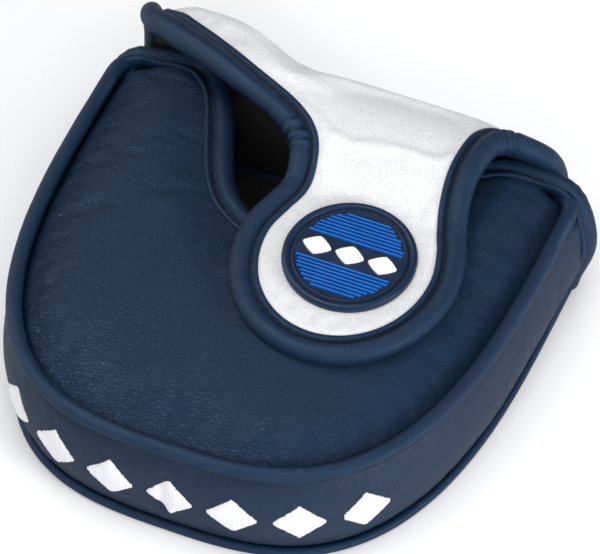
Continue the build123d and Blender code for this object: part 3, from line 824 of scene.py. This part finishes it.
# How far the padded wall stands out from the outline: heights, then offsets
WALL_BULGE = ([2.2, 3.2, 5.8, 9.5, 16.0, 22.5, 25.8, 28.0, 29.1],
              [-0.9, 0.1, 1.25, 1.95, 2.45, 1.95, 1.25, 0.25, -0.9])
# How far the top four rows turn in and up under the rounded rear corners
TURN_IN, TURN_UP = (0.0, 0.8, 2.4, 4.2), (0.0, 0.3, 0.8, 1.3)


def side_wall():
    """Build the padded wall, and return its grid of points (along, up, 3)."""
    n, m = len(WALL_LINE), len(WALL_Z)
    out = left_of(WALL_LINE)
    heights = np.linspace(2.2, 29.1, 400)
    bulge = np.interp(WALL_Z, heights, smooth_line(np.interp(heights, *WALL_BULGE), 60))
    # the wall flares a little at its rear ends, more on the right
    x, y = WALL_LINE.T
    flare = ((ease((y - 38.0) / 18.0) * np.where(x > 0, 2.0, 0.6))[:, None]
             * ease((WALL_Z - 5.0) / 9.0)[None])
    corner = ease((y - 49.5) / 6.0)[:, None]
    turn = np.zeros((2, m))
    turn[:, -4:] = TURN_IN, TURN_UP
    verts = np.empty((n, m, 3))
    stand = bulge[None] + flare - corner * turn[0][None]
    verts[:, :, :2] = WALL_LINE[:, None] + out[:, None] * stand[..., None]
    verts[:, :, 2] = WALL_Z[None] + corner * turn[1][None]
    verts = verts.reshape(-1, 3)
    faces = grid_faces(n, m)
    z = np.tile(WALL_Z, n)
    pin = np.maximum(ease((4.6 - z) / 1.2), ease((z - 27.0) / 1.0))
    pin = np.maximum(pin, np.repeat(ease((y - 51.0) / 2.0), m))
    verts = puff("sim_wall", verts, faces, pin,
                 pressure=1.0, grow=0.014, cap=0.9, stiff=18, bend=1.0)
    # pull marks at both seams, then broad unevenness
    s = np.repeat(WALL_S, m)
    pull = (np.maximum(np.exp(-(28.2 - z) / 3.2), np.exp(-(z - 3.2) / 2.6))
            * ease((28.6 - z) / 1.2) * ease((z - 2.9) / 1.0))
    relief = 0.13 * pull * noise3(flat(s / 2.7, z / 20.0), 21)
    relief += (0.14 * fbm(flat(s / 26.0, z / 9.0), 31, 2)
               * ease((z - 4) / 4) * ease((27 - z) / 4))
    verts = verts + np.repeat(flat(out), m, 0) * relief[:, None]
    fit_skin(mesh_object("side_wall_skin", verts, faces[:, ::-1], M_WALL, flat(s, z)),
             "navy_leather", "gusset_panel", "gusset_foam")
    return verts.reshape(n, m, 3)


def wall_lining():
    line = resample(u_line(-5.0, 56.2), 2.0)
    out = left_of(line)
    z = np.linspace(4.4, 28.0, 13)
    bulge = np.interp(z, [4.4, 9.5, 16.0, 22.5, 28.0], [0.0, 1.7, 2.2, 1.6, -0.3])
    verts = np.empty((len(line), len(z), 3))
    verts[:, :, :2] = line[:, None] + out[:, None] * bulge[None, :, None]
    verts[:, :, 2] = z[None]
    verts = verts.reshape(-1, 3)
    verts[:, :2] += np.repeat(out, len(z), 0) * (0.3 * fbm(verts / 5.0, 41))[:, None]
    fit_skin(mesh_object("wall_lining_skin", verts, grid_faces(len(line), len(z)), M_PLUSH),
             "black_plush", "gusset_lining")


# ----------------------------------------------------------------------------
# Base: flat underside that turns up to the bottom welt, and its lining
# ----------------------------------------------------------------------------
def base_panel():
    plan, faces = sheet_cells(62.0, -56.0, 58.0, 2.0, within(-0.5, 56.4))
    edge, _ = nearest(plan, OUTLINE)
    z = 1.5 * fade(edge, 0.6, 1.2) + 0.10 + 0.09 * fbm(flat(plan / 12.0), 51)
    verts = np.column_stack([plan, np.clip(z, 0.0, None)])
    fit_skin(mesh_object("base_skin", verts, faces[:, ::-1], M_WALL),
             "navy_leather", "bottom_panel", "bottom_foam")


def base_lining():
    plan, faces = sheet_cells(60.0, -54.0, 58.0, 2.0, within(-4.6, 56.6))
    z = 5.3 + 0.35 * fbm(flat(plan / 6.0), 61) - 1.6 * ease((plan[:, 1] - 52.0) / 4.6)
    fit_skin(mesh_object("base_lining_skin", np.column_stack([plan, z]), faces, M_PLUSH),
             "black_plush", "bottom_lining")


# ----------------------------------------------------------------------------
# Welts: round leather piping along the top and bottom seams
# ----------------------------------------------------------------------------
def welt(name, line, z, radius, node, seed):
    path = np.column_stack([line, z])
    up = np.tile([0.0, 0.0, 1.0], (len(path), 1))
    outward = unit(np.cross(up, tangents(path)))
    a = ring_angles(22)
    section = np.stack([np.cos(a) * radius, np.sin(a) * radius], 1)
    s = arc_lengths(path)
    thick = wobble(s, seed, slow=(0.018, 7.0), quick=(0.010, 1.6))
    pts = sweep(path, outward, up, section[None] * thick[:, None, None])
    fit_skin(tube_mesh(name, pts, M_ROLL, strip_pattern(s, a * radius)),
             "navy_binding", node, node + "_cord")


def welts():
    """The top welt drops a little round the rear corners."""
    line = resample(WELT_LINE, 1.2)
    drop = 0.25 * np.clip(line[:, 1] - 56.0, 0, None)
    welt("top_welt_skin", line, TOP_WELT_Z + 0.7 - drop, TOP_WELT_R - 0.3, "top_welt", 71)
    line = resample(u_line(0.35, 56.0), 1.2)
    welt("bottom_welt_skin", line, np.full(len(line), LOW_WELT_Z - 0.35), LOW_WELT_R - 0.35,
         "bottom_welt", 73)


# ----------------------------------------------------------------------------
# Padded binding round the mouth
# ----------------------------------------------------------------------------
def roll_section(level, centre, half_w, half_h, edge, groove, depth):
    """Section (across, up) of a padded binding: a band on the panel, a sewn groove, the roll.

    level is the panel face's height, edge and groove lie across, depth is the groove's,
    centre is the roll's (across, up).
    """
    band = level + 0.30
    pts = [(edge - 0.05, level - 1.2),
           (edge, level + 0.30 * 0.35),
           (edge + 0.25, band),
           ((edge + groove) / 2 + 0.1, band + 0.05),
           (groove - 0.42, band - 0.02),
           (groove - 0.1, level - depth),
           (groove + 0.2, level - depth + 0.02)]
    for a in np.radians(np.linspace(152, -150, 15)):
        pts.append((centre[0] + half_w * math.cos(a), centre[1] + half_h * math.sin(a)))
    pts.append((edge + 1.0, min(level - 2.4, -0.8)))
    return np.array(pts)


# The binding's ends on the wall: x, y, z, normal x, y, z, level of the panel below the centre line
RIM_LEFT = [
    (-61.3, 56.4, 0.9, -1, 0, -0.1, 0.9), (-61.6, 56.4, 3.4, -1, 0, 0, 0.9),
    (-62.6, 56.6, 9.0, -1, 0, 0.05, 1.0), (-63.4, 56.8, 16.0, -1, 0, 0.12, 1.2),
    (-63.3, 57.2, 22.5, -0.95, 0, 0.3, 1.5), (-61.9, 58.2, 27.0, -0.75, 0.05, 0.65, 2.1),
    (-58.9, 60.6, 29.8, -0.4, 0.1, 0.9, 2.6)]
RIM_RIGHT = [
    (59.2, 60.6, 29.9, 0.4, 0.1, 0.9, 2.6), (62.3, 58.8, 27.8, 0.75, 0.05, 0.65, 2.0),
    (64.6, 57.4, 23.5, 0.93, 0, 0.36, 1.5), (65.5, 56.6, 18.0, 1, 0, 0.16, 1.2),
    (64.5, 56.5, 12.5, 1, 0, 0.06, 1.0), (62.9, 56.4, 7.5, 1, 0, 0, 0.9),
    (61.7, 56.3, 3.4, 1, 0, 0, 0.9), (61.3, 56.4, 0.9, 1, 0, -0.1, 0.9)]
RIM_LEVEL = 2.9                      # level of the panel along the mouth


def mouth_binding():
    """The binding climbs the left wall end, follows the mouth and runs down the right end."""
    mid = offset(MOUTH_LINE, 3.05)
    mid = mid[np.abs(mid[:, 0]) < 53.0][::12]
    mid_z = crown_z(mid[:, 0], np.minimum(mid[:, 1], 57.0)) - RIM_LEVEL
    mid_rest = np.tile([0.0, 0.0, 1.0, RIM_LEVEL], (len(mid), 1))
    rows = catmull(np.vstack([RIM_LEFT, np.column_stack([mid, mid_z, mid_rest]), RIM_RIGHT]), 14)
    s = arc_lengths(rows[:, :3])
    rows = interp_rows(np.linspace(0, s[-1], int(s[-1] / 0.7)), s, rows)
    path, level = smooth_line(rows[:, :3], 12), rows[:, 6]
    along = tangents(path)
    up = rows[:, 3:6]
    up = unit(up - along * (up * along).sum(1)[:, None])
    lat = np.cross(up, along)

    edge, groove = -4.5, -3.0
    shape = dict(centre=(0.15, 0.0), half_h=3.05, edge=edge, groove=groove, depth=0.45)
    sections = np.array([roll_section(v, half_w=2.85, **shape) for v in level])
    s = arc_lengths(path)
    thick = wobble(s, 81, slow=(0.02, 9.0), quick=(0.012, 2.2))
    sections = sections * thick[:, None, None]
    # small gathers where the binding turns tightly
    bend = smooth_line(np.linalg.norm(np.gradient(along, axis=0), axis=1) / np.gradient(s), 8)
    gather = np.clip((bend - 0.05) / 0.10, 0, 1) * 0.22
    phase = np.sin(TAU * s / 2.1 + 1.5 * noise_along(s, 4.0, 83))
    on_roll = np.zeros(sections.shape[1])
    on_roll[8:-2] = 1
    sections = sections * (1 + (gather * phase)[:, None, None] * 0.22 * on_roll[None, :, None])
    pattern = strip_pattern(s, arc_lengths(roll_section(RIM_LEVEL, half_w=2.95, **shape)))
    fit_skin(tube_mesh("mouth_binding_skin", sweep(path, lat, up, sections), M_ROLL, pattern,
                       flip=True),
             "navy_binding", "rim_binding", "rim_binding_cord")
    seam = path + lat * (groove - 0.02) + up * (level - 0.28)[:, None]
    fit(stitches("mouth_stitches", seam[8:-8], up[8:-8], pitch=2.9, length=2.1, radius=0.25),
        "navy_binding")


# ----------------------------------------------------------------------------
# Flap
# ----------------------------------------------------------------------------
def flap_panel():
    """White leather outer face, padded but held flat under the badge."""
    plan, faces = flap_cells(1.1)
    edge, _ = nearest(plan, FLAP_EDGE)
    edge = np.where(inside(plan, FLAP_EDGE), edge, 0)
    badge = np.linalg.norm(plan - np.array([BADGE_X, BADGE_U]), axis=1)
    seam = 0.55 * fade(edge, 2.2, 1.3)
    padded = 0.55 * (1 - fade(edge, 2.6, 4.0)) - seam
    clear = ease((badge - 16.0) / 9.0)
    height = padded * clear + (1 - clear) * (-0.05 - seam)
    pin = np.maximum.reduce([ease((4.6 - edge) / 1.6), 1 - ease((badge - 17.0) / 2.5),
                             ease((3.0 - plan[:, 1]) / 2.0)])
    x, u = plan.T
    verts = puff("sim_flap", flap_xyz(x, u, height), faces, pin,
                 pressure=1.0, grow=0.006, cap=0.8, stiff=20, bend=2.5)
    relief = (0.14 * fbm(flat(plan / 20.0), 91, 2)
              * ease((edge - 4) / 6) * ease((badge - 17) / 6))
    verts = verts + flap_normal(x, u) * relief[:, None]
    return fit_skin(mesh_object("flap_white_skin", verts, faces, M_WHITE, flat(plan)),
                    "white_leather", "flap_base_panel", "flap_base_foam", "flap_tongue_panel",
                    "flap_tongue_foam", ride=None)


def flap_lining():
    plan, faces = flap_cells(1.8)
    verts = flap_xyz(plan[:, 0], plan[:, 1], -3.9 + 0.25 * fbm(flat(plan / 5.0), 95))
    return fit_skin(mesh_object("flap_lining_skin", verts, faces[:, ::-1], M_PLUSH),
                    "black_plush", "flap_base_lining", "flap_tongue_lining", ride=None)


# Creases pinched across the flap binding at its inner corners: x, u, depth, width
CREASES = [
    (-7.4, 63.0, 0.16, 0.50), (-5.2, 64.9, 0.24, 0.55), (-3.5, 67.0, 0.18, 0.45),
    (-2.3, 70.2, 0.09, 0.6), (-13.0, 60.0, 0.06, 0.8), (38.6, 48.0, 0.12, 0.5),
    (40.1, 44.2, 0.18, 0.5), (42.9, 40.2, 0.14, 0.5), (37.6, 52.6, 0.07, 0.6)]


def flap_binding():
    """Padded binding round the flap, fuller over the shoulders."""
    x, u = FLAP_EDGE.T
    s = arc_lengths(FLAP_EDGE)
    slim = roll_section(0.15, centre=(0.95, -1.35), half_w=2.75, half_h=2.85,
                        edge=-3.7, groove=-1.75, depth=0.42)
    full = roll_section(0.15, centre=(1.35, -1.75), half_w=3.25, half_h=3.35,
                        edge=-3.7, groove=-1.9, depth=0.42)
    fullness = np.where(x < 10, bell(u - 52.0, 14.0) * (1 - ease((-43.0 - x) / 9.0)),
                        0.75 * bell(u - 50.0, 15.0))[:, None, None]
    sections = slim[None] * (1 - fullness) + full[None] * fullness

    # ripples in the corners whose centre lies outside the flap
    along = tangents(FLAP_EDGE)
    turn = np.cross(along[:-1], along[1:])
    turn = np.concatenate([turn, turn[-1:]]) / np.gradient(s)
    concave = np.clip(smooth_line(turn, 8) * 14, 0, 1)
    phase = np.sin(TAU * s / 2.3 + 2.0 * noise_along(s, 3.0, 103))
    swell = wobble(s, 101, slow=(0.022, 10.0), quick=(0.010, 2.0)) - 1
    swell = swell + concave * 0.030 * phase
    for crease_x, crease_u, depth, width in CREASES:
        at = int(np.argmin(np.linalg.norm(FLAP_EDGE - np.array([crease_x, crease_u]), axis=1)))
        d = s - s[at]
        lips = bell(d - 2.2 * width, width) + bell(d + 2.2 * width, width)
        swell = swell + (-depth * bell(d, width) + 0.32 * depth * lips)
    on_roll = np.zeros(len(slim))
    on_roll[7:-1] = 1
    centre = np.array([0.95, -1.35])
    sections = centre + (sections - centre) * (1 + swell[:, None] * on_roll[None])[..., None]

    across = FLAP_EDGE[:, None] + FLAP_EDGE_OUT[:, None] * sections[..., 0:1]
    pts = flap_xyz(across[..., 0], across[..., 1], sections[..., 1])
    pattern = strip_pattern(s, arc_lengths(slim))
    return fit_skin(tube_mesh("flap_binding_skin", pts, M_ROLL, pattern),
                    "navy_binding", "flap_base_binding", "flap_tongue_binding",
                    "flap_base_cord", "flap_tongue_cord", ride=None)


def flap_stitches():
    x, u = (FLAP_EDGE + FLAP_EDGE_OUT * -1.72).T
    pts, nrm = flap_xyz(x, u, -0.12), flap_normal(x, u)
    obj = stitches("flap_stitches", pts[6:-6], nrm[6:-6], pitch=3.0, length=2.2, radius=0.26)
    return fit(obj, "navy_binding", ride=None)


def flap():
    """Build the flap's pieces and bake their transforms into their meshes."""
    for obj in [flap_panel(), flap_lining(), flap_binding(), flap_stitches()]:
        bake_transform(obj)


# ----------------------------------------------------------------------------
# Moulded badge on the flap's tilted top face
# ----------------------------------------------------------------------------
BADGE_UP = np.array([0, -math.sin(TILT_ANGLE), math.cos(TILT_ANGLE)])
BADGE_REAR = np.array([0, math.cos(TILT_ANGLE), math.sin(TILT_ANGLE)])
BADGE_RIGHT = np.array([1.0, 0, 0])
BADGE_CENTRE = np.array([BADGE_X, BADGE_Y, top_face_z(10.0)]) + BADGE_UP * 0.15
MARK_ROOT_H = BADGE_FIELD_H - 0.02       # raised marks start just under the field

# Disc profile (radius, height): outer wall, rim, stitching groove, inner bead, flat field
DISC_PROFILE = [
    (16.35, -0.3), (16.6, 0.35), (16.6, 1.2), (16.35, 1.75), (15.8, 1.98), (15.3, 1.95),
    (14.95, 1.72), (14.7, 1.38), (14.45, 1.34), (14.2, 1.62), (13.9, 1.72), (13.65, 1.55),
    (13.5, 1.34)] + [(r, BADGE_FIELD_H) for r in (13.0, 10.0, 6.0, 2.5, 0.3)]
# Profiles of raised marks: share of the half size, share of the height
LINE_PROFILE = np.array([(1.0, 0.0), (1.0, 0.55), (0.9, 0.8), (0.66, 0.95), (0.3, 1.0),
                         (0.02, 1.02)])
PAD_PROFILE = np.array([(1.0, 0.0), (1.0, 0.55), (0.965, 0.82), (0.90, 0.95), (0.80, 1.0),
                        (0.5, 1.03), (0.2, 1.05)])


def badge_point(x, y, h):
    x, y, h = np.broadcast_arrays(*(np.asarray(q, float) for q in (x, y, h)))
    return (BADGE_CENTRE + BADGE_RIGHT * x[..., None] + BADGE_REAR * y[..., None]
            + BADGE_UP * h[..., None])


def raised_mark(profile, top_h, x, y, dx, dy):
    """Rings about (x, y) reaching out by (dx, dy), stepped in and up to top_h, and closed."""
    scale = profile[:, 0:1]
    h = MARK_ROOT_H + (top_h - MARK_ROOT_H) * profile[:, 1:2]
    rings, sides = len(profile), len(dx)
    faces = grid_faces(rings, sides, True).tolist()
    faces.append([(rings - 1) * sides + j for j in range(sides)])
    return badge_point(x + dx * scale, y + dy * scale, h).reshape(-1, 3), faces


def raised_line(x0, x1, y):
    """A raised line from x0 to x1 with a rounded top and round ends."""
    r = 0.60 / 2
    half_turn = math.pi * np.arange(11) / 10 - math.pi / 2
    a = np.concatenate([half_turn, half_turn + math.pi])
    x = np.repeat([x1 - r, x0 + r], 11)
    return raised_mark(LINE_PROFILE, 1.92, x, y, np.cos(a) * r, np.sin(a) * r)


def lozenge_pad(x, half_w, half_h):
    """A raised lozenge with rounded corners and a softly domed top."""
    a, power = ring_angles(64), 1.22
    c, s = np.cos(a), np.sin(a)
    r = (np.abs(c) ** power + np.abs(s) ** power) ** (-1 / power)
    return raised_mark(PAD_PROFILE, 2.05, x, 0.0, half_w * r * c, half_h * r * s)


def badge():
    profile = catmull(DISC_PROFILE, 4)
    sides = 160
    a = ring_angles(sides)
    r = profile[:, 0:1]
    verts = badge_point(r * np.cos(a), r * np.sin(a), profile[:, 1:2]).reshape(-1, 3)
    faces = grid_faces(len(profile), sides, True).tolist()
    centre, base = len(verts), (len(profile) - 1) * sides
    verts = np.vstack([verts, badge_point(0, 0, BADGE_FIELD_H)[None]])
    faces += [(base + j, base + (j + 1) % sides, centre) for j in range(sides)]
    fit(mesh_object("badge_disc", verts, faces, M_RUBBER),
        "navy_rubber", "badge_body", ride="flap_tongue")

    # lines across the field, outwards from the middle, cut a little short in turn
    first, pitch = 4.25, 1.06
    trim_left, trim_right = (0.0, 0.5, 0.15), (0.35, 0.0, 0.6)
    parts = []
    for sign in (1, -1):
        for i in range(8):
            y = sign * (first + pitch * i)
            half = math.sqrt(BADGE_FIELD_R ** 2 - y ** 2)
            parts.append(raised_line(-half + trim_left[i % 3], half - trim_right[i % 3], y))
    fit(mesh_object("badge_raised_lines", *merge(parts), M_BLUE),
        "blue_rubber", "badge_stripes", ride="flap_tongue")

    parts = [lozenge_pad(x, half_w=3.75, half_h=2.75) for x in (-8.6, 0.0, 8.6)]
    fit(mesh_object("badge_lozenges", *merge(parts), M_MARK),
        "white_rubber", "badge_emblem", ride="flap_tongue")

    a, r = np.linspace(0, TAU, 240), 14.55
    fit(stitches("badge_stitches", badge_point(r * np.cos(a), r * np.sin(a), 1.40),
                 np.tile(BADGE_UP, (240, 1)), pitch=1.75, length=1.25, radius=0.17, sink=0.2),
        "navy_rubber", ride="flap_tongue")


# ----------------------------------------------------------------------------
# Satin-stitch lozenges on the side wall
# ----------------------------------------------------------------------------
def wall_at(wall, s, z):
    """Point and outward normal of the wall at arc length s (from the right rear), height z."""
    i = np.clip(np.interp(s, WALL_S, np.arange(len(WALL_S))), 0, len(WALL_S) - 1.001)
    j = np.clip(np.interp(z, WALL_Z, np.arange(len(WALL_Z))), 0, len(WALL_Z) - 1.001)
    i0, j0 = i.astype(int), j.astype(int)
    fi, fj = (i - i0)[..., None], (j - j0)[..., None]
    p = ((wall[i0, j0] * (1 - fi) + wall[i0 + 1, j0] * fi) * (1 - fj)
         + (wall[i0, j0 + 1] * (1 - fi) + wall[i0 + 1, j0 + 1] * fi) * fj)
    n, m = wall.shape[:2]
    along = wall[np.clip(i0 + 2, 0, n - 1), j0] - wall[np.clip(i0 - 1, 0, None), j0]
    up = wall[i0, np.clip(j0 + 2, 0, m - 1)] - wall[i0, np.clip(j0 - 1, 0, None)]
    nrm = unit(np.cross(up, along))
    out = np.stack([p[..., 0], p[..., 1] + 10, 0 * p[..., 0]], -1)
    return p, nrm * np.sign((nrm * out).sum(-1))[..., None]


def satin_lozenge(wall, centre_s, seed):
    """One lozenge of upright satin stitches, laid side by side over a padded shape."""
    centre_z, half_w, half_h, pitch = 16.0, 6.3, 6.1, 0.42
    rings, sides = 13, 7
    t = np.linspace(-1, 1, rings)
    a = ring_angles(sides)[None, :, None]
    rng = np.random.default_rng(seed)
    parts = []
    for column in range(int(2 * half_w / pitch)):
        x = -half_w + (column + 0.5) * pitch
        half = half_h * (1 - abs(x) / half_w) + rng.uniform(-0.16, 0.16)
        if half < 0.5:
            continue
        lean = 0.10 * x / half_w
        p, nrm = wall_at(wall, centre_s + x + lean * t * half * 0.25, centre_z + t * half)
        pad = 0.62 * (1 - np.abs(t) ** 4) * (0.55 + 0.45 * (1 - (x / half_w) ** 2))
        lift = pad * min(1.0, half / 2.0 + 0.25) + rng.uniform(-0.03, 0.03)
        side = np.cross(nrm, tangents(p))
        r = 0.27 + rng.uniform(-0.02, 0.02)
        core = p + nrm * (lift - 0.10)[:, None]
        ring = core[:, None] + (side[:, None] * np.cos(a) * r + nrm[:, None] * np.sin(a) * r * 0.8)
        parts.append((ring.reshape(-1, 3), grid_faces(rings, sides, True)))
    return merge(parts)


def wall_embroidery(wall):
    """Seven lozenges in a row about the front, set a little to the right of centre."""
    front = WALL_S[np.abs(WALL_LINE[:, 0]).argmin()]
    parts = [satin_lozenge(wall, front + (i - 3) * 15.6 - 1.9, seed=200 + i) for i in range(7)]
    fit(mesh_object("wall_satin_lozenges", *merge(parts), M_SATIN),
        "white_thread", "wall_embroidery")


# ----------------------------------------------------------------------------
# Sewn strip that joins the flap's lower edge to the base
# ----------------------------------------------------------------------------
# Section of the strip (y, z)
HINGE_SECTION = [
    (54.5, 0.55), (57.0, 0.35), (60.0, 0.30), (62.0, 0.7), (63.2, 1.8), (63.8, 3.2),
    (63.2, 3.9), (61.6, 3.6), (60.0, 2.4), (57.0, 1.7), (54.5, 1.6)]


def hinge_strip():
    x = np.linspace(-56.5, 56.5, 90)
    section = catmull(HINGE_SECTION, 4)
    pts = np.empty((len(x), len(section), 3))
    pts[..., 0] = x[:, None]
    pts[..., 1] = section[None, :, 0] + 0.12 * noise_along(x, 6.0, 301)[:, None]
    pts[..., 2] = section[None, :, 1]
    fit(tube_mesh("hinge_strip", pts, M_TAPE), "navy_leather", "hinge_tape")


def cad_materials():
    """CAD cords and magnets keep their meshes and take a material."""
    for name, mat in (("top_welt_cord", M_CORD), ("bottom_welt_cord", M_CORD),
                      ("rim_binding_cord", M_CORD), ("panel_magnet", M_NICKEL),
                      ("flap_magnet", M_NICKEL)):
        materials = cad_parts[name].data.materials
        materials.clear()
        materials.append(mat)


# ----------------------------------------------------------------------------
# Floor, light and camera
# ----------------------------------------------------------------------------
def studio_floor():
    n, z = 12, -0.15
    ticks = np.linspace(-2500, 2500, n)
    plan = np.stack(np.meshgrid(ticks, ticks, indexing="ij"), -1).reshape(-1, 2)
    mesh_object("studio_floor", np.column_stack([plan, np.full(len(plan), z)]),
                         grid_faces(n, n, flip=True), floor_material())


def studio_world():
    """A bright sky for matt surfaces that is nearly dark in glossy reflections."""
    matt_strength, gloss_strength = 0.66, 0.06
    world = bpy.data.worlds.new("studio")
    bpy.context.scene.world = world
    world.use_nodes = True
    tree = world.node_tree
    background = tree.nodes["Background"]
    rays = tree.nodes.new("ShaderNodeLightPath")
    mix = tree.nodes.new("ShaderNodeMix")
    mix.data_type = "FLOAT"
    mix.inputs[2].default_value = matt_strength
    mix.inputs[3].default_value = gloss_strength
    tree.links.new(rays.outputs["Is Glossy Ray"], mix.inputs[0])
    tree.links.new(mix.outputs[0], background.inputs["Strength"])
    background.inputs["Color"].default_value = (0.97, 0.98, 1.0, 1)


def area_light(name, at, size, power, matt=True, gloss=True):
    """An area light aimed at the pouch, seen by matt surfaces, glossy ones or both."""
    light = bpy.data.lights.new(name, "AREA")
    light.shape = "RECTANGLE"
    light.size, light.size_y = size
    light.energy = power
    obj = bpy.data.objects.new(name, light)
    bpy.context.scene.collection.objects.link(obj)
    obj.location = at
    obj.rotation_mode = "QUATERNION"
    obj.rotation_quaternion = (Vector((0, 0, 0.02)) - Vector(at)).to_track_quat("-Z", "Y")
    obj.visible_diffuse = matt
    obj.visible_glossy = gloss


def lights():
    area_light("front_fill", at=(0.20, -0.95, 0.70), size=(0.7, 0.5), power=5.0, gloss=False)
    area_light("top_fill", at=(-0.05, -0.15, 1.1), size=(0.7, 0.7), power=3.4, gloss=False)
    area_light("left_softbox", at=(-0.74, 0.16, 0.78), size=(0.26, 0.36), power=4.2, matt=False)
    area_light("top_softbox", at=(-0.25, -0.10, 1.02), size=(0.50, 0.26), power=5.6, matt=False)
    area_light("right_softbox", at=(0.95, -0.28, 0.24), size=(0.30, 0.35), power=7.6)
    area_light("left_strip", at=(-0.92, -0.10, 0.12), size=(0.30, 0.24), power=1.8, matt=False)


def camera():
    """A long lens looking down from the front, turned towards the right."""
    turn, height = math.radians(23), math.radians(49.5)
    distance, shift_right, shift_up = 1.2, 0.01095, 0.00366
    target = Vector((0, 0, 0.030))
    right = Vector((math.cos(turn), math.sin(turn), 0))
    up = Vector((-math.sin(turn) * math.sin(height), math.cos(turn) * math.sin(height),
                 math.cos(height)))
    back = Vector((math.sin(turn) * math.cos(height), -math.cos(turn) * math.cos(height),
                   math.sin(height)))
    data = bpy.data.cameras.new("camera")
    data.sensor_width = 36.0
    data.lens = 293.76
    data.clip_start, data.clip_end = 0.05, 20.0
    obj = bpy.data.objects.new("camera", data)
    bpy.context.scene.collection.objects.link(obj)
    place = target + right * shift_right + up * shift_up + back * distance
    axes = Matrix((right, up, back)).transposed().to_4x4()
    obj.matrix_world = Matrix.Translation(place) @ axes
    bpy.context.scene.camera = obj
    bpy.context.scene.view_settings.view_transform = "Standard"


# ----------------------------------------------------------------------------
# Build
# ----------------------------------------------------------------------------
top_panel()
top_lining()
wall_points = side_wall()
wall_lining()
base_panel()
base_lining()
welts()
mouth_binding()
flap()
badge()
wall_embroidery(wall_points)
hinge_strip()
cad_materials()
studio_floor()
studio_world()
lights()
camera()
